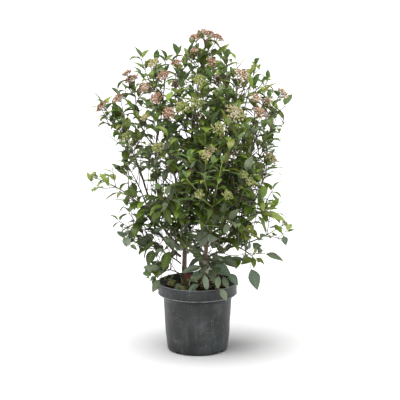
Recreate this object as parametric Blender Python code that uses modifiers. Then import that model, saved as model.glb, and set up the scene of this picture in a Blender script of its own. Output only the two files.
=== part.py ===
"""Potted laurustinus: a young Viburnum tinus on three stems, in a black nursery pot.

Metres, +Z up. The origin is the centre of the pot's flat underside, and the best side of the crown faces -Y.
"""

import math
import random

import bmesh
import bpy
import numpy as np
from mathutils import Matrix, Vector

PLANT = "potted_laurustinus"
GAP = 0.0003
MERGE = 0.00001

# The pot: radii on its outer side, from the rim down to the foot.
POT_HEIGHT = 0.210
RIM_RADIUS = 0.120
RIM_BAND = 0.036
RIM_CHAMFER = 0.012
RIM_LIP = 0.0045
RIM_ROUND = 0.0012
WALL_TOP_RADIUS = 0.1042
WALL_BEND_HEIGHT = 0.056
WALL_BEND_RADIUS = 0.0980
FOOT_RADIUS = 0.0920
FOOT_HEIGHT = 0.009
FOOT_FLAT_RADIUS = 0.0865
WALL = 0.0022
FLOOR = 0.0085
POT_STEPS = 32

# Drain notches in the edge of the foot.
NOTCHES = 4
NOTCH_WIDTH = 0.024
NOTCH_HEIGHT = 0.0062
NOTCH_DEPTH = 0.030
NOTCH_MIDDLE = FOOT_RADIUS - 0.006
NOTCH_TURN = math.radians(-129)

# The compost: level where the stems stand, then falling a little to the wall.
SOIL_HEIGHT = 0.196
SOIL_LEVEL_RADIUS = 0.062
SOIL_FALL = 0.007
SOIL_ROUGHNESS = 0.0025
SOIL_SIDE_GAP = 0.0010

# Stems: foot (x, y), tip (x, y, z), radius of the root flare, radius above it, radius at the tip.
FLARE_HEIGHT = 0.026
STEM_STEPS = 5
STEMS = {
    "stem_main": ((-0.040, 0.000), (-0.037, 0.006, 0.350), 0.0125, 0.0078, 0.0062),
    "stem_right": ((0.020, -0.014), (0.044, -0.018, 0.400), 0.0100, 0.0063, 0.0048),
    "stem_back": ((0.026, 0.036), (0.022, 0.062, 0.420), 0.0100, 0.0060, 0.0046),
}

# Boughs: parent, place along it (1 is its tip), tip (x, y, z), radius at the base, radius at the tip.
BOUGH_STEPS = 5
BOUGHS = {
    "bough_centre": ("stem_main", 1.0, (-0.015, 0.000, 0.680), 0.0052, 0.0032),
    "bough_left_high": ("stem_main", 0.93, (-0.120, -0.005, 0.660), 0.0046, 0.0030),
    "bough_left_shoulder": ("stem_main", 0.76, (-0.165, -0.030, 0.540), 0.0044, 0.0029),
    "bough_left_belt": ("stem_main", 0.58, (-0.150, 0.000, 0.415), 0.0040, 0.0027),
    "bough_front_left": ("stem_main", 0.86, (-0.060, -0.100, 0.520), 0.0042, 0.0028),
    "bough_right_high": ("stem_right", 1.0, (0.085, -0.005, 0.680), 0.0046, 0.0030),
    "bough_right_shoulder": ("stem_right", 0.90, (0.150, -0.015, 0.570), 0.0042, 0.0028),
    "bough_right_belt": ("stem_right", 0.70, (0.145, -0.030, 0.430), 0.0038, 0.0026),
    "bough_front_right": ("stem_right", 0.80, (0.050, -0.115, 0.500), 0.0042, 0.0028),
    "bough_right_low": ("stem_right", 0.45, (0.130, -0.010, 0.325), 0.0034, 0.0024),
    "bough_back_high": ("stem_back", 1.0, (0.000, 0.105, 0.660), 0.0044, 0.0029),
    "bough_back_left": ("stem_back", 0.88, (-0.085, 0.130, 0.480), 0.0038, 0.0026),
    "bough_back_right": ("stem_back", 0.80, (0.095, 0.130, 0.480), 0.0038, 0.0026),
}

# Masses of foliage: limb, place along it, tip (x, y, z), radius of the bud cluster at the tip (0 for none).
LEADER_STEPS = 5
MASSES = {
    "mass_top": ("bough_centre", 1.0, (0.022, 0.000, 0.922), 0.027),
    "mass_top_left": ("bough_centre", 0.95, (-0.060, -0.030, 0.868), 0.015),
    "mass_front_top": ("bough_centre", 0.80, (-0.004, -0.160, 0.770), 0.022),
    "mass_left_top": ("bough_left_high", 1.0, (-0.140, 0.040, 0.862), 0.014),
    "mass_left_top_inner": ("bough_left_high", 0.96, (-0.094, -0.095, 0.838), 0.020),
    "mass_left_high": ("bough_left_high", 0.90, (-0.186, -0.020, 0.815), 0.022),
    "mass_left_shoulder": ("bough_left_shoulder", 1.0, (-0.270, -0.028, 0.738), 0.022),
    "mass_left_middle": ("bough_left_shoulder", 0.94, (-0.200, -0.110, 0.662), 0.020),
    "mass_left_belt": ("bough_left_belt", 0.94, (-0.215, 0.070, 0.560), 0.0),
    "mass_left_sprig": ("bough_left_belt", 1.0, (-0.300, -0.015, 0.530), 0.016),
    "mass_left_inner": ("bough_left_belt", 0.86, (-0.180, -0.120, 0.490), 0.0),
    "mass_front_left": ("bough_front_left", 1.0, (-0.108, -0.180, 0.645), 0.018),
    "mass_front_left_low": ("bough_front_left", 0.90, (-0.105, -0.200, 0.470), 0.0),
    "mass_top_right": ("bough_right_high", 1.0, (0.084, 0.030, 0.893), 0.014),
    "mass_rose": ("bough_right_high", 0.95, (0.120, -0.070, 0.832), 0.028),
    "mass_right_top": ("bough_right_high", 0.88, (0.160, 0.060, 0.828), 0.0),
    "mass_right_shoulder": ("bough_right_shoulder", 1.0, (0.240, -0.018, 0.775), 0.022),
    "mass_right_upper": ("bough_right_shoulder", 0.94, (0.175, -0.120, 0.735), 0.020),
    "mass_right_middle": ("bough_right_shoulder", 0.86, (0.220, 0.060, 0.645), 0.0),
    "mass_right_belt": ("bough_right_belt", 1.0, (0.208, -0.060, 0.590), 0.020),
    "mass_right_lower": ("bough_right_belt", 0.92, (0.215, -0.050, 0.450), 0.0),
    "mass_front_upper": ("bough_front_right", 1.0, (0.100, -0.170, 0.735), 0.032),
    "mass_front_middle": ("bough_front_right", 0.95, (0.025, -0.220, 0.630), 0.018),
    "mass_front_right": ("bough_front_right", 0.88, (0.145, -0.175, 0.545), 0.016),
    "mass_front_lower": ("bough_front_right", 0.74, (0.045, -0.225, 0.490), 0.016),
    "mass_right_sprig": ("bough_right_low", 1.0, (0.255, 0.010, 0.380), 0.012),
    "mass_right_droop": ("bough_right_low", 0.90, (0.170, -0.085, 0.300), 0.0),
    "mass_right_front_low": ("stem_right", 0.62, (0.140, -0.150, 0.405), 0.0),
    "mass_back_top": ("bough_back_high", 1.0, (-0.020, 0.115, 0.865), 0.022),
    "mass_back_top_left": ("bough_back_high", 0.95, (-0.130, 0.155, 0.765), 0.020),
    "mass_back_top_right": ("bough_back_high", 0.90, (0.120, 0.155, 0.775), 0.024),
    "mass_back_middle": ("bough_back_high", 0.70, (0.000, 0.215, 0.670), 0.020),
    "mass_back_left": ("bough_back_left", 1.0, (-0.185, 0.155, 0.600), 0.020),
    "mass_back_left_low": ("bough_back_left", 0.88, (-0.130, 0.190, 0.425), 0.0),
    "mass_back_right": ("bough_back_right", 1.0, (0.185, 0.155, 0.590), 0.020),
    "mass_back_right_low": ("bough_back_right", 0.88, (0.130, 0.190, 0.415), 0.0),
    "mass_back_lower": ("stem_back", 0.66, (0.000, 0.215, 0.480), 0.0),
    "mass_left_low": ("stem_main", 0.44, (-0.215, 0.000, 0.350), 0.0),
    "mass_front_low": ("stem_main", 0.66, (-0.050, -0.165, 0.395), 0.0),
    "mass_front_foot": ("stem_right", 0.25, (0.034, -0.108, 0.278), 0.0),
    "mass_left_foot": ("stem_main", 0.22, (-0.105, -0.050, 0.262), 0.0),
    "mass_back_foot": ("stem_back", 0.25, (0.010, 0.125, 0.290), 0.0),
}

# Growth: pairs of buds along a leader, each pair turned a quarter from the last.
SEED = 7
LEADER_RADII = (0.0023, 0.0013)
TWIG_RADII = (0.0014, 0.0010)
BARE_SHARE = 0.22
INTERNODE = 0.034
LOW_INTERNODE_CUT = 0.30
LEAST_NODES = 4
TWIG_LENGTH = 0.050
TWIG_GAIN = 0.018
TWIG_MOST = 0.125
TWIG_TRIES = (1.0, 0.78, 0.58)
TWIG_STEPS = 2
LEAVE_AXIS = 0.62
LEAVE_SIDE = 0.78
RISE = 0.20

# Leaves: life size is about 55 mm with the stalk, and these stand for a few more.
LEAF_LENGTH = 0.068
LEAF_WIDTH = 0.53
LEAF_THICKNESS = 0.030
LEAF_WIDEST = 0.54
LEAF_SPREAD = 0.20
LEAF_LOW_GAIN = 0.16
LEAF_SINK = 0.0006
LEAF_TRIES = ((1.0, 0.0), (0.88, 0.5), (0.76, 1.2))
LEAF_APART = 0.017
CLUSTER_FLATNESS = 0.52

# Room: how far a twig or leaf stays from the edge of its mass's space and from limbs and pot.
SPACE_MARGIN = 0.0010
LIMB_MARGIN = 0.0045
POT_MARGIN = 0.004

# The crown's own outline: its reach from the axis at each height, and how far twigs may pass it.
CROWN_HEIGHTS = (0.20, 0.28, 0.36, 0.50, 0.66, 0.80, 0.88, 0.94, 0.98)
CROWN_REACHES = (0.15, 0.20, 0.255, 0.265, 0.270, 0.265, 0.215, 0.135, 0.060)
CROWN_DEPTH = 0.92
CROWN_LEADER_REACH = 0.052

DARK_PLASTIC = ((0.045, 0.047, 0.048), 0.42)
COMPOST = ((0.060, 0.038, 0.024), 0.95)
BARK = ((0.150, 0.110, 0.085), 0.85)
FOLIAGE = ((0.070, 0.125, 0.035), 0.50)


def clear_scene():
    for obj in list(bpy.data.objects):
        bpy.data.objects.remove(obj)


def new_collection(name):
    collection = bpy.data.collections.new(name)
    bpy.context.scene.collection.children.link(collection)
    return collection


def material(name, look):
    colour, roughness = look
    surface = bpy.data.materials.new(name)
    surface.use_nodes = True
    shader = surface.node_tree.nodes["Principled BSDF"]
    shader.inputs["Base Color"].default_value = (*colour, 1.0)
    shader.inputs["Roughness"].default_value = roughness
    shader.inputs["Metallic"].default_value = 0.0
    return surface


def add_object(name, mesh, collection):
    obj = bpy.data.objects.new(name, mesh)
    collection.objects.link(obj)
    return obj


def evaluated_mesh(obj):
    """The object's mesh with its modifiers applied, as a new mesh."""
    graph = bpy.context.evaluated_depsgraph_get()
    return bpy.data.meshes.new_from_object(obj.evaluated_get(graph))


def unit(vector):
    return vector / np.linalg.norm(vector)


def across(vector, axis):
    """The part of a vector that is square to an axis, at length 1."""
    return unit(vector - axis * np.dot(vector, axis))


def bend(start, control, end, steps):
    """Points along a quadratic curve, both ends included."""
    share = np.linspace(0.0, 1.0, steps + 1)[:, None]
    return (1 - share) ** 2 * start + 2 * share * (1 - share) * control + share**2 * end


class Limb:
    """A tapering limb: points along its centre line and the radius at each."""

    def __init__(self, points, radii):
        self.points = np.asarray(points, dtype=float)
        self.radii = np.asarray(radii, dtype=float)
        steps = np.linalg.norm(np.diff(self.points, axis=0), axis=1)
        self.reach = np.concatenate([[0.0], np.cumsum(steps)])
        self.length = self.reach[-1]

    def at(self, distance):
        """The point, direction and radius at a distance along the limb."""
        index = int(np.clip(np.searchsorted(self.reach, distance) - 1, 0, len(self.points) - 2))
        span = self.points[index + 1] - self.points[index]
        share = (distance - self.reach[index]) / np.linalg.norm(span)
        radius = self.radii[index] * (1 - share) + self.radii[index + 1] * share
        return self.points[index] + span * share, unit(span), radius


def branch(parent, share, tip, radii, steps):
    """A limb that leaves its parent, GAP clear of it, and bends up to its tip."""
    tip = np.array(tip)
    point, axis, parent_radius = parent.at(parent.length * share)
    start, heading = point + axis * GAP, axis
    if share < 1.0:
        side = across(tip - point, axis)
        start = point + side * (parent_radius + radii[0] + GAP)
        heading = unit(axis * LEAVE_AXIS + side * LEAVE_SIDE)
    control = start + heading * np.linalg.norm(tip - start) * 0.42
    return Limb(bend(start, control, tip, steps), np.linspace(radii[0], radii[1], steps + 1))


def grow_stem(foot, tip, flare, radius, tip_radius):
    """A stem from its flat cut on the compost, with a root flare, up to its fork."""
    start = np.array([*foot, SOIL_HEIGHT + GAP])
    flare_top = start + np.array([0.0, 0.0, FLARE_HEIGHT])
    tip = np.array(tip)
    control = flare_top + np.array([0.0, 0.0, (tip[2] - flare_top[2]) * 0.5])
    rise = bend(flare_top, control, tip, STEM_STEPS)
    shoulder = start + np.array([0.0, 0.0, FLARE_HEIGHT * 0.35])
    points = np.vstack([start, shoulder, rise])
    shoulder_radius = flare * 0.45 + radius * 0.55
    taper = np.linspace(radius, tip_radius, STEM_STEPS + 1)
    return Limb(points, np.concatenate([[flare, shoulder_radius], taper]))


def grow_limbs():
    limbs = {name: grow_stem(*sizes) for name, sizes in STEMS.items()}
    for name, (parent, share, tip, base_radius, tip_radius) in BOUGHS.items():
        limbs[name] = branch(limbs[parent], share, tip, (base_radius, tip_radius), BOUGH_STEPS)
    return limbs


def grow_leaders(limbs):
    """The stem of each mass, from its limb to the mass's tip."""
    return {
        name: branch(limbs[limb], share, tip, LEADER_RADII, LEADER_STEPS)
        for name, (limb, share, tip, _) in MASSES.items()
    }


def distances(points, paths):
    """The distance from each point to the surface of the nearest of these limbs."""
    starts = np.vstack([path.points[:-1] for path in paths])
    ends = np.vstack([path.points[1:] for path in paths])
    start_radii = np.concatenate([path.radii[:-1] for path in paths])
    end_radii = np.concatenate([path.radii[1:] for path in paths])
    spans = ends - starts
    shares = np.einsum("psk,sk->ps", points[:, None] - starts, spans) / np.einsum("sk,sk->s", spans, spans)
    shares = np.clip(shares, 0.0, 1.0)
    nearest = starts + shares[..., None] * spans
    gaps = np.linalg.norm(points[:, None] - nearest, axis=2)
    return (gaps - start_radii * (1 - shares) - end_radii * shares).min(axis=1)


class Room:
    """The space that a mass keeps to: nearer its own leader than any other, and off limbs and pot."""

    def __init__(self, name, leaders, limbs):
        self.own = [leaders[name]]
        self.others = [leader for other, leader in leaders.items() if other != name]
        self.limbs = list(limbs.values())

    def holds(self, points):
        """Whether a twig or leaf that passes these points keeps to the space."""
        own = distances(points, self.own)
        if (distances(points, self.others) - own).min() < SPACE_MARGIN:
            return False
        reach = np.hypot(points[:, 0], points[:, 1] / CROWN_DEPTH)
        beyond = reach > np.interp(points[:, 2], CROWN_HEIGHTS, CROWN_REACHES)
        if np.any(beyond & (own > CROWN_LEADER_REACH)):
            return False
        if distances(points, self.limbs).min() < LIMB_MARGIN:
            return False
        return not touches_pot(points)


def touches_pot(points):
    low = points[:, 2] < POT_HEIGHT + POT_MARGIN
    radius = np.hypot(points[:, 0], points[:, 1])
    outside = radius > RIM_RADIUS + POT_MARGIN
    inside = (radius < WALL_TOP_RADIUS - POT_MARGIN) & (points[:, 2] > SOIL_HEIGHT + POT_MARGIN)
    return bool(np.any(low & ~outside & ~inside))


class Leaf:
    """One leaf: its root on a twig, the way it points, the way its face looks, and its length."""

    def __init__(self, root, heading, face, length):
        self.root = root
        self.heading = unit(heading)
        self.face = across(face, self.heading)
        self.length = length

    def matrix(self):
        side = np.cross(self.face, self.heading)
        columns = (side * LEAF_WIDTH, self.face * LEAF_THICKNESS, self.heading)
        turn = np.column_stack([column * self.length for column in columns])
        return Matrix.Translation(Vector(self.root)) @ Matrix(turn.tolist()).to_4x4()

    def middle(self):
        return self.root + self.heading * self.length * LEAF_WIDEST

    def outline(self):
        """Points over the leaf, from near its root to its tip."""
        side = np.cross(self.face, self.heading) * LEAF_WIDTH / 2
        places = [(0.2, 0), (0.36, 0), (LEAF_WIDEST, -1), (LEAF_WIDEST, -0.5), (LEAF_WIDEST, 0)]
        places += [(LEAF_WIDEST, 0.5), (LEAF_WIDEST, 1), (0.77, -0.5), (0.77, 0), (0.77, 0.5), (1.0, 0)]
        return np.array([self.root + (self.heading * far + side * out) * self.length for far, out in places])


def low_share(height):
    """1 at the foot of the crown, 0 from its middle up: lower leaves are larger and more level."""
    return float(np.clip((0.62 - height) / 0.34, 0.0, 1.0))


class Growth:
    """The twigs and leaves of one mass. Whatever would leave its room is made smaller, or left off."""

    def __init__(self, name, leader, room):
        self.random = random.Random(f"{SEED} {name}")
        self.room = room
        self.twigs = []
        self.leaves = []
        low = low_share(leader.points[-1][2])
        leafy = leader.length * (1 - BARE_SHARE)
        internode = min(INTERNODE * (1 - LOW_INTERNODE_CUT * low), leafy / LEAST_NODES)
        first_turn = self.random.random() * math.pi
        for node in range(int(leafy / internode + 0.01)):
            root, axis, _ = leader.at(leader.length - max(node * internode, LEAF_SINK * 6))
            side = self.side_of(axis, first_turn + node * math.pi / 2)
            if node == 0:
                self.add_end_leaf(leader, side)
            if node < 2 or node % 2 == 1:
                self.add_pair(root, axis, side)
            else:
                length = min(TWIG_LENGTH + TWIG_GAIN * node, TWIG_MOST)
                self.add_twig(root, axis, side, length)
                self.add_twig(root, axis, -side, length)

    def side_of(self, axis, turn):
        """A direction square to a twig, at a turn round it."""
        level = across(np.array([0.31, 0.17, 0.94]), axis)
        return math.cos(turn) * level + math.sin(turn) * np.cross(axis, level)

    def add_leaf(self, root, axis, side, lift, fall, face, length):
        """A leaf, tried shorter and closer to its twig where the room is narrow."""
        for scale, extra_lift in LEAF_TRIES:
            heading = unit(side + axis * (lift + extra_lift) + np.array([0.0, 0.0, fall]))
            leaf = Leaf(root - heading * LEAF_SINK, heading, face, length * scale)
            middle = leaf.middle()
            if any(np.linalg.norm(middle - other.middle()) < LEAF_APART for other in self.leaves):
                continue
            if self.room.holds(leaf.outline()):
                self.leaves.append(leaf)
                return

    def add_pair(self, root, axis, side):
        """Two leaves opposite each other on a twig."""
        low = low_share(root[2])
        for sign in (1, -1):
            length = LEAF_LENGTH * (1 + LEAF_LOW_GAIN * low)
            length *= 1 + LEAF_SPREAD * (self.random.random() - 0.5)
            lift = (0.62 - 0.42 * low) * (0.6 + 0.8 * self.random.random())
            fall = 0.10 - 0.36 * low * self.random.random()
            face = axis + np.array([0.0, 0.0, 0.7]) + side * (self.random.random() - 0.5) * 0.8
            self.add_leaf(root, axis, side * sign, lift, fall, face, length)

    def add_end_leaf(self, twig, side):
        tip, axis, _ = twig.at(twig.length)
        length = LEAF_LENGTH * (0.86 + 0.2 * self.random.random())
        face = np.cross(axis, side) + side * (self.random.random() - 0.5)
        self.add_leaf(tip - axis * LEAF_SINK * 3, axis, side * 0.25, 1.0, 0.0, face, length)

    def add_twig(self, start, axis, side, length):
        """A side twig that bends up, with a pair of leaves part way and a pair and an end leaf at its tip."""
        length *= 0.8 + 0.4 * self.random.random()
        turn = self.random.random() * math.pi
        heading = unit(axis * LEAVE_AXIS + side * LEAVE_SIDE)
        for scale in TWIG_TRIES:
            tip = start + unit(heading + np.array([0.0, 0.0, RISE])) * length * scale
            points = bend(start, start + heading * length * scale * 0.5, tip, TWIG_STEPS)
            if self.room.holds(points[1:]):
                break
        else:
            return
        twig = Limb(points, np.linspace(*TWIG_RADII, TWIG_STEPS + 1))
        self.twigs.append(twig)
        for node, share in enumerate((0.50, 0.94)):
            root, way, _ = twig.at(twig.length * share)
            side = self.side_of(way, turn + node * math.pi / 2)
            self.add_pair(root, way, side)
        self.add_end_leaf(twig, side)


def ring_profile(sides):
    """A flat ring of one metre radius, which a tube takes as its section."""
    curve = bpy.data.curves.new(f"section_{sides}", "CURVE")
    spline = curve.splines.new("POLY")
    spline.points.add(sides - 1)
    for index, point in enumerate(spline.points):
        angle = 2 * math.pi * index / sides
        point.co = (math.cos(angle), math.sin(angle), 0.0, 1.0)
    spline.use_cyclic_u = True
    profile = bpy.data.objects.new(curve.name, curve)
    profile.hide_render = True
    return profile


def tube_mesh(name, limb, section):
    """A tapering tube along a limb, with flat ends, as a closed mesh."""
    curve = bpy.data.curves.new(name, "CURVE")
    curve.dimensions = "3D"
    curve.bevel_mode = "OBJECT"
    curve.bevel_object = section
    curve.use_fill_caps = True
    spline = curve.splines.new("POLY")
    spline.points.add(len(limb.points) - 1)
    for point, place, radius in zip(spline.points, limb.points, limb.radii):
        point.co = (*place, 1.0)
        point.radius = radius
    obj = add_object(name, curve, bpy.context.scene.collection)
    mesh = evaluated_mesh(obj)
    bpy.data.objects.remove(obj)
    bpy.data.curves.remove(curve)
    return welded(mesh)


def welded(mesh):
    shape = bmesh.new()
    shape.from_mesh(mesh)
    bmesh.ops.remove_doubles(shape, verts=shape.verts, dist=MERGE)
    bmesh.ops.recalc_face_normals(shape, faces=shape.faces)
    shape.to_mesh(mesh)
    shape.free()
    return mesh


def leaf_mesh():
    """A keeled leaf of six faces, one metre long and wide, from its root at the origin."""
    shape = bmesh.new()
    bmesh.ops.create_uvsphere(shape, u_segments=3, v_segments=2, radius=0.5)
    edge = max(vertex.co.x for vertex in shape.verts)
    for vertex in shape.verts:
        middle = abs(vertex.co.z) < 0.25
        across_leaf, keel = vertex.co.y / math.sin(math.pi / 3), vertex.co.x + edge / 2
        vertex.co = (across_leaf, keel, LEAF_WIDEST) if middle else (0.0, edge / 2, vertex.co.z + 0.5)
    mesh = bpy.data.meshes.new("leaf")
    shape.to_mesh(mesh)
    shape.free()
    return mesh


def cluster_mesh():
    """A domed cluster of buds, one metre in radius, standing on its stalks' meeting point."""
    shape = bmesh.new()
    bmesh.ops.create_uvsphere(shape, u_segments=6, v_segments=3, radius=1.0)
    mesh = bpy.data.meshes.new("cluster")
    shape.to_mesh(mesh)
    shape.free()
    return mesh


def cluster_matrix(leader, radius):
    tip, axis, _ = leader.at(leader.length)
    heading = Vector(unit(axis + np.array([0.0, 0.0, 1.2])))
    place = Vector(tip) + heading * radius * CLUSTER_FLATNESS * 0.45
    turn = heading.to_track_quat("Z", "Y").to_matrix().to_4x4()
    dome = Matrix.Diagonal((radius, radius, radius * CLUSTER_FLATNESS, 1.0))
    return Matrix.Translation(place) @ turn @ dome


def union(obj, pieces, solver):
    """The object's mesh joined with every object of a collection."""
    modifier = obj.modifiers.new("join", "BOOLEAN")
    modifier.operation = "UNION"
    modifier.operand_type = "COLLECTION"
    modifier.collection = pieces
    modifier.solver = solver
    mesh = evaluated_mesh(obj)
    obj.modifiers.remove(modifier)
    return mesh


def outer_shell(mesh):
    """Keeps the largest closed surface of a mesh, so loose scraps and sealed hollows go."""
    shape = bmesh.new()
    shape.from_mesh(mesh)
    left = set(shape.faces)
    shells = []
    while left:
        shell = flood(left.pop())
        left -= shell
        shells.append(shell)
    largest = max(shells, key=lambda shell: sum(face.calc_area() for face in shell))
    scraps = [face for shell in shells if shell is not largest for face in shell]
    bmesh.ops.delete(shape, geom=scraps, context="FACES")
    closed = all(len(edge.link_faces) == 2 for edge in shape.edges)
    shape.to_mesh(mesh)
    shape.free()
    return closed


def flood(first):
    """Every face that is joined by edges to the first."""
    found = {first}
    edge_of_search = [first]
    while edge_of_search:
        face = edge_of_search.pop()
        for edge in face.edges:
            for neighbour in edge.link_faces:
                if neighbour not in found:
                    found.add(neighbour)
                    edge_of_search.append(neighbour)
    return found


def build_mass(name, leader, room, shared, collection):
    """One mass as one solid: its leader, twigs, leaves and bud cluster joined."""
    growth = Growth(name, leader, room)
    pieces = new_collection(f"{name}_pieces")
    for index, twig in enumerate(growth.twigs):
        twig_tube = tube_mesh("twig", twig, shared["twig_section"])
        add_object(f"twig_{index}", twig_tube, pieces)
    for index, leaf in enumerate(growth.leaves):
        add_object(f"leaf_{index}", shared["leaf"], pieces).matrix_world = leaf.matrix()
    cluster_radius = MASSES[name][3]
    if cluster_radius:
        add_object("cluster", shared["cluster"], pieces).matrix_world = cluster_matrix(leader, cluster_radius)
    mass = add_object(name, tube_mesh(name, leader, shared["twig_section"]), collection)
    stem_mesh = mass.data
    for solver in ("EXACT", "MANIFOLD"):
        mass.data = union(mass, pieces, solver)
        if outer_shell(mass.data):
            break
        mass.data = stem_mesh
    for piece in list(pieces.objects):
        bpy.data.objects.remove(piece)
    bpy.data.collections.remove(pieces)
    mass.data.materials.clear()
    mass.data.materials.append(shared["foliage"])


def turned(name, profile, steps, collection):
    """A solid turned round Z from a profile of (radius, height) that starts and ends on the axis."""
    mesh = bpy.data.meshes.new(name)
    shape = bmesh.new()
    corners = [shape.verts.new((radius, 0.0, height)) for radius, height in profile]
    for first, second in zip(corners, corners[1:]):
        shape.edges.new((first, second))
    shape.to_mesh(mesh)
    shape.free()
    obj = add_object(name, mesh, collection)
    screw = obj.modifiers.new("turn", "SCREW")
    screw.steps = steps
    screw.render_steps = steps
    screw.use_merge_vertices = True
    screw.merge_threshold = MERGE
    return obj


def wall_radius(height):
    """The outer radius of the pot's wall at a height, under its rim."""
    heights = (FOOT_HEIGHT, WALL_BEND_HEIGHT, POT_HEIGHT - RIM_BAND)
    return float(np.interp(height, heights, (FOOT_RADIUS, WALL_BEND_RADIUS, WALL_TOP_RADIUS)))


def build_pot(collection, cutters):
    band_foot = POT_HEIGHT - RIM_BAND
    inner_shelf = POT_HEIGHT - RIM_BAND * 0.72
    profile = [
        (0.0, FLOOR),
        (FOOT_RADIUS - WALL * 2.2, FLOOR),
        (FOOT_RADIUS - WALL, FOOT_HEIGHT),
        (WALL_BEND_RADIUS - WALL, WALL_BEND_HEIGHT),
        (wall_radius(inner_shelf) - WALL, inner_shelf),
        (RIM_RADIUS - RIM_LIP, POT_HEIGHT - RIM_BAND * 0.30),
        (RIM_RADIUS - RIM_LIP, POT_HEIGHT - RIM_ROUND),
        (RIM_RADIUS - RIM_LIP + RIM_ROUND, POT_HEIGHT),
        (RIM_RADIUS - RIM_ROUND, POT_HEIGHT),
        (RIM_RADIUS, POT_HEIGHT - RIM_ROUND),
        (RIM_RADIUS, band_foot + RIM_CHAMFER * 0.5),
        (RIM_RADIUS - 0.0018, band_foot),
        (WALL_TOP_RADIUS + 0.0004, band_foot - RIM_CHAMFER),
        (WALL_BEND_RADIUS, WALL_BEND_HEIGHT),
        (FOOT_RADIUS, FOOT_HEIGHT),
        (FOOT_RADIUS - 0.0018, FOOT_HEIGHT * 0.33),
        (FOOT_FLAT_RADIUS, 0.0),
        (0.0, 0.0),
    ]
    pot = turned("pot", profile, POT_STEPS, collection)
    for index in range(NOTCHES):
        angle = NOTCH_TURN + 2 * math.pi * index / NOTCHES
        notch = add_object(f"notch_{index}", box_mesh(NOTCH_DEPTH, NOTCH_WIDTH, NOTCH_HEIGHT * 2), cutters)
        place = Matrix.Translation((NOTCH_MIDDLE, 0.0, 0.0))
        notch.matrix_world = Matrix.Rotation(angle, 4, "Z") @ place
        notch.hide_render = True
        notch.display_type = "WIRE"
        cut = pot.modifiers.new(notch.name, "BOOLEAN")
        cut.operation = "DIFFERENCE"
        cut.object = notch
    pot.data.materials.append(material("pot_plastic", DARK_PLASTIC))
    return pot


def box_mesh(depth, width, height):
    shape = bmesh.new()
    bmesh.ops.create_cube(shape, size=1.0)
    bmesh.ops.scale(shape, vec=(depth, width, height), verts=shape.verts)
    mesh = bpy.data.meshes.new("box")
    shape.to_mesh(mesh)
    shape.free()
    return mesh


def build_compost(collection):
    """The compost fills the pot: its top is level in the middle and rough towards the wall."""
    edge_height = SOIL_HEIGHT - SOIL_FALL
    inside = WALL + SOIL_SIDE_GAP
    shoulder_height = POT_HEIGHT - RIM_BAND
    shoulder_radius = wall_radius(shoulder_height) - inside
    foot_radius = FOOT_RADIUS - WALL * 2.2 - SOIL_SIDE_GAP
    top_radii = np.linspace(SOIL_LEVEL_RADIUS, shoulder_radius + 0.001, 4)
    top_heights = np.linspace(SOIL_HEIGHT, edge_height, 4)
    profile = [(0.0, SOIL_HEIGHT)]
    profile += list(zip(top_radii.tolist(), top_heights.tolist()))
    profile += [
        (shoulder_radius, shoulder_height),
        (WALL_BEND_RADIUS - inside, WALL_BEND_HEIGHT),
        (foot_radius, FOOT_HEIGHT),
        (foot_radius - 0.002, FLOOR + GAP),
        (0.0, FLOOR + GAP),
    ]
    compost = turned("compost", profile, POT_STEPS, collection)
    compost.data = evaluated_mesh(compost)
    compost.modifiers.clear()
    random_part = random.Random(SEED)
    for vertex in compost.data.vertices:
        radius = math.hypot(vertex.co.x, vertex.co.y)
        if radius > SOIL_LEVEL_RADIUS * 1.1 and vertex.co.z > edge_height - SOIL_ROUGHNESS:
            vertex.co.z -= SOIL_ROUGHNESS * random_part.random()
    compost.data.materials.append(material("compost", COMPOST))
    return compost


def shade_round(obj):
    obj.data.shade_smooth()
    obj.data.set_sharp_from_angle(angle=math.radians(35))


def build():
    clear_scene()
    plant = new_collection(PLANT)
    cutters = new_collection("cutters")
    shade_round(build_pot(plant, cutters))
    shade_round(build_compost(plant))
    limbs = grow_limbs()
    leaders = grow_leaders(limbs)
    bark = material("bark", BARK)
    shared = {
        "stem_section": ring_profile(8),
        "bough_section": ring_profile(6),
        "twig_section": ring_profile(3),
        "leaf": leaf_mesh(),
        "cluster": cluster_mesh(),
        "foliage": material("foliage", FOLIAGE),
    }
    for name, limb in limbs.items():
        section = shared["stem_section"] if name in STEMS else shared["bough_section"]
        solid = add_object(name, tube_mesh(name, limb, section), plant)
        solid.data.materials.append(bark)
        shade_round(solid)
    for name, leader in leaders.items():
        build_mass(name, leader, Room(name, leaders, limbs), shared, plant)
    for section in ("stem_section", "bough_section", "twig_section"):
        bpy.data.objects.remove(shared[section])


build()
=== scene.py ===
"""Potted laurustinus: the dressed model, in metres and +Z up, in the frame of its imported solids.

The limbs and the growth rule repeat the part's own source, and finer twigs and leaves are added to them.
"""

import math
import random

import bmesh
import bpy
import numpy as np
from mathutils import Matrix, Vector, noise


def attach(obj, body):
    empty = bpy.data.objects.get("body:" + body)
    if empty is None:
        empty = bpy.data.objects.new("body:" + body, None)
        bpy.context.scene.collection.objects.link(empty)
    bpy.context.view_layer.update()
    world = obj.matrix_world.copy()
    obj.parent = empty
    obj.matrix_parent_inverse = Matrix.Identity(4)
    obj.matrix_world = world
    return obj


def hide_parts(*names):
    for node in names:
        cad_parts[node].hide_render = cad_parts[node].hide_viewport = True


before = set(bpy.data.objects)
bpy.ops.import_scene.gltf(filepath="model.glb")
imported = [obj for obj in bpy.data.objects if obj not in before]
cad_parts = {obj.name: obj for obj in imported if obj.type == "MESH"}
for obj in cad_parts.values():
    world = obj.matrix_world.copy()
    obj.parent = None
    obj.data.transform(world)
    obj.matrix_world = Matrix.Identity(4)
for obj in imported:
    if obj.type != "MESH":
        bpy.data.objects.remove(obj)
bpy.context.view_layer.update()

# ---------------------------------------------------------------- sizes shared with the part's source
GAP = 0.0003
POT_HEIGHT = 0.210
RIM_RADIUS = 0.120
RIM_BAND = 0.036
RIM_CHAMFER = 0.012
RIM_LIP = 0.0045
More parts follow.
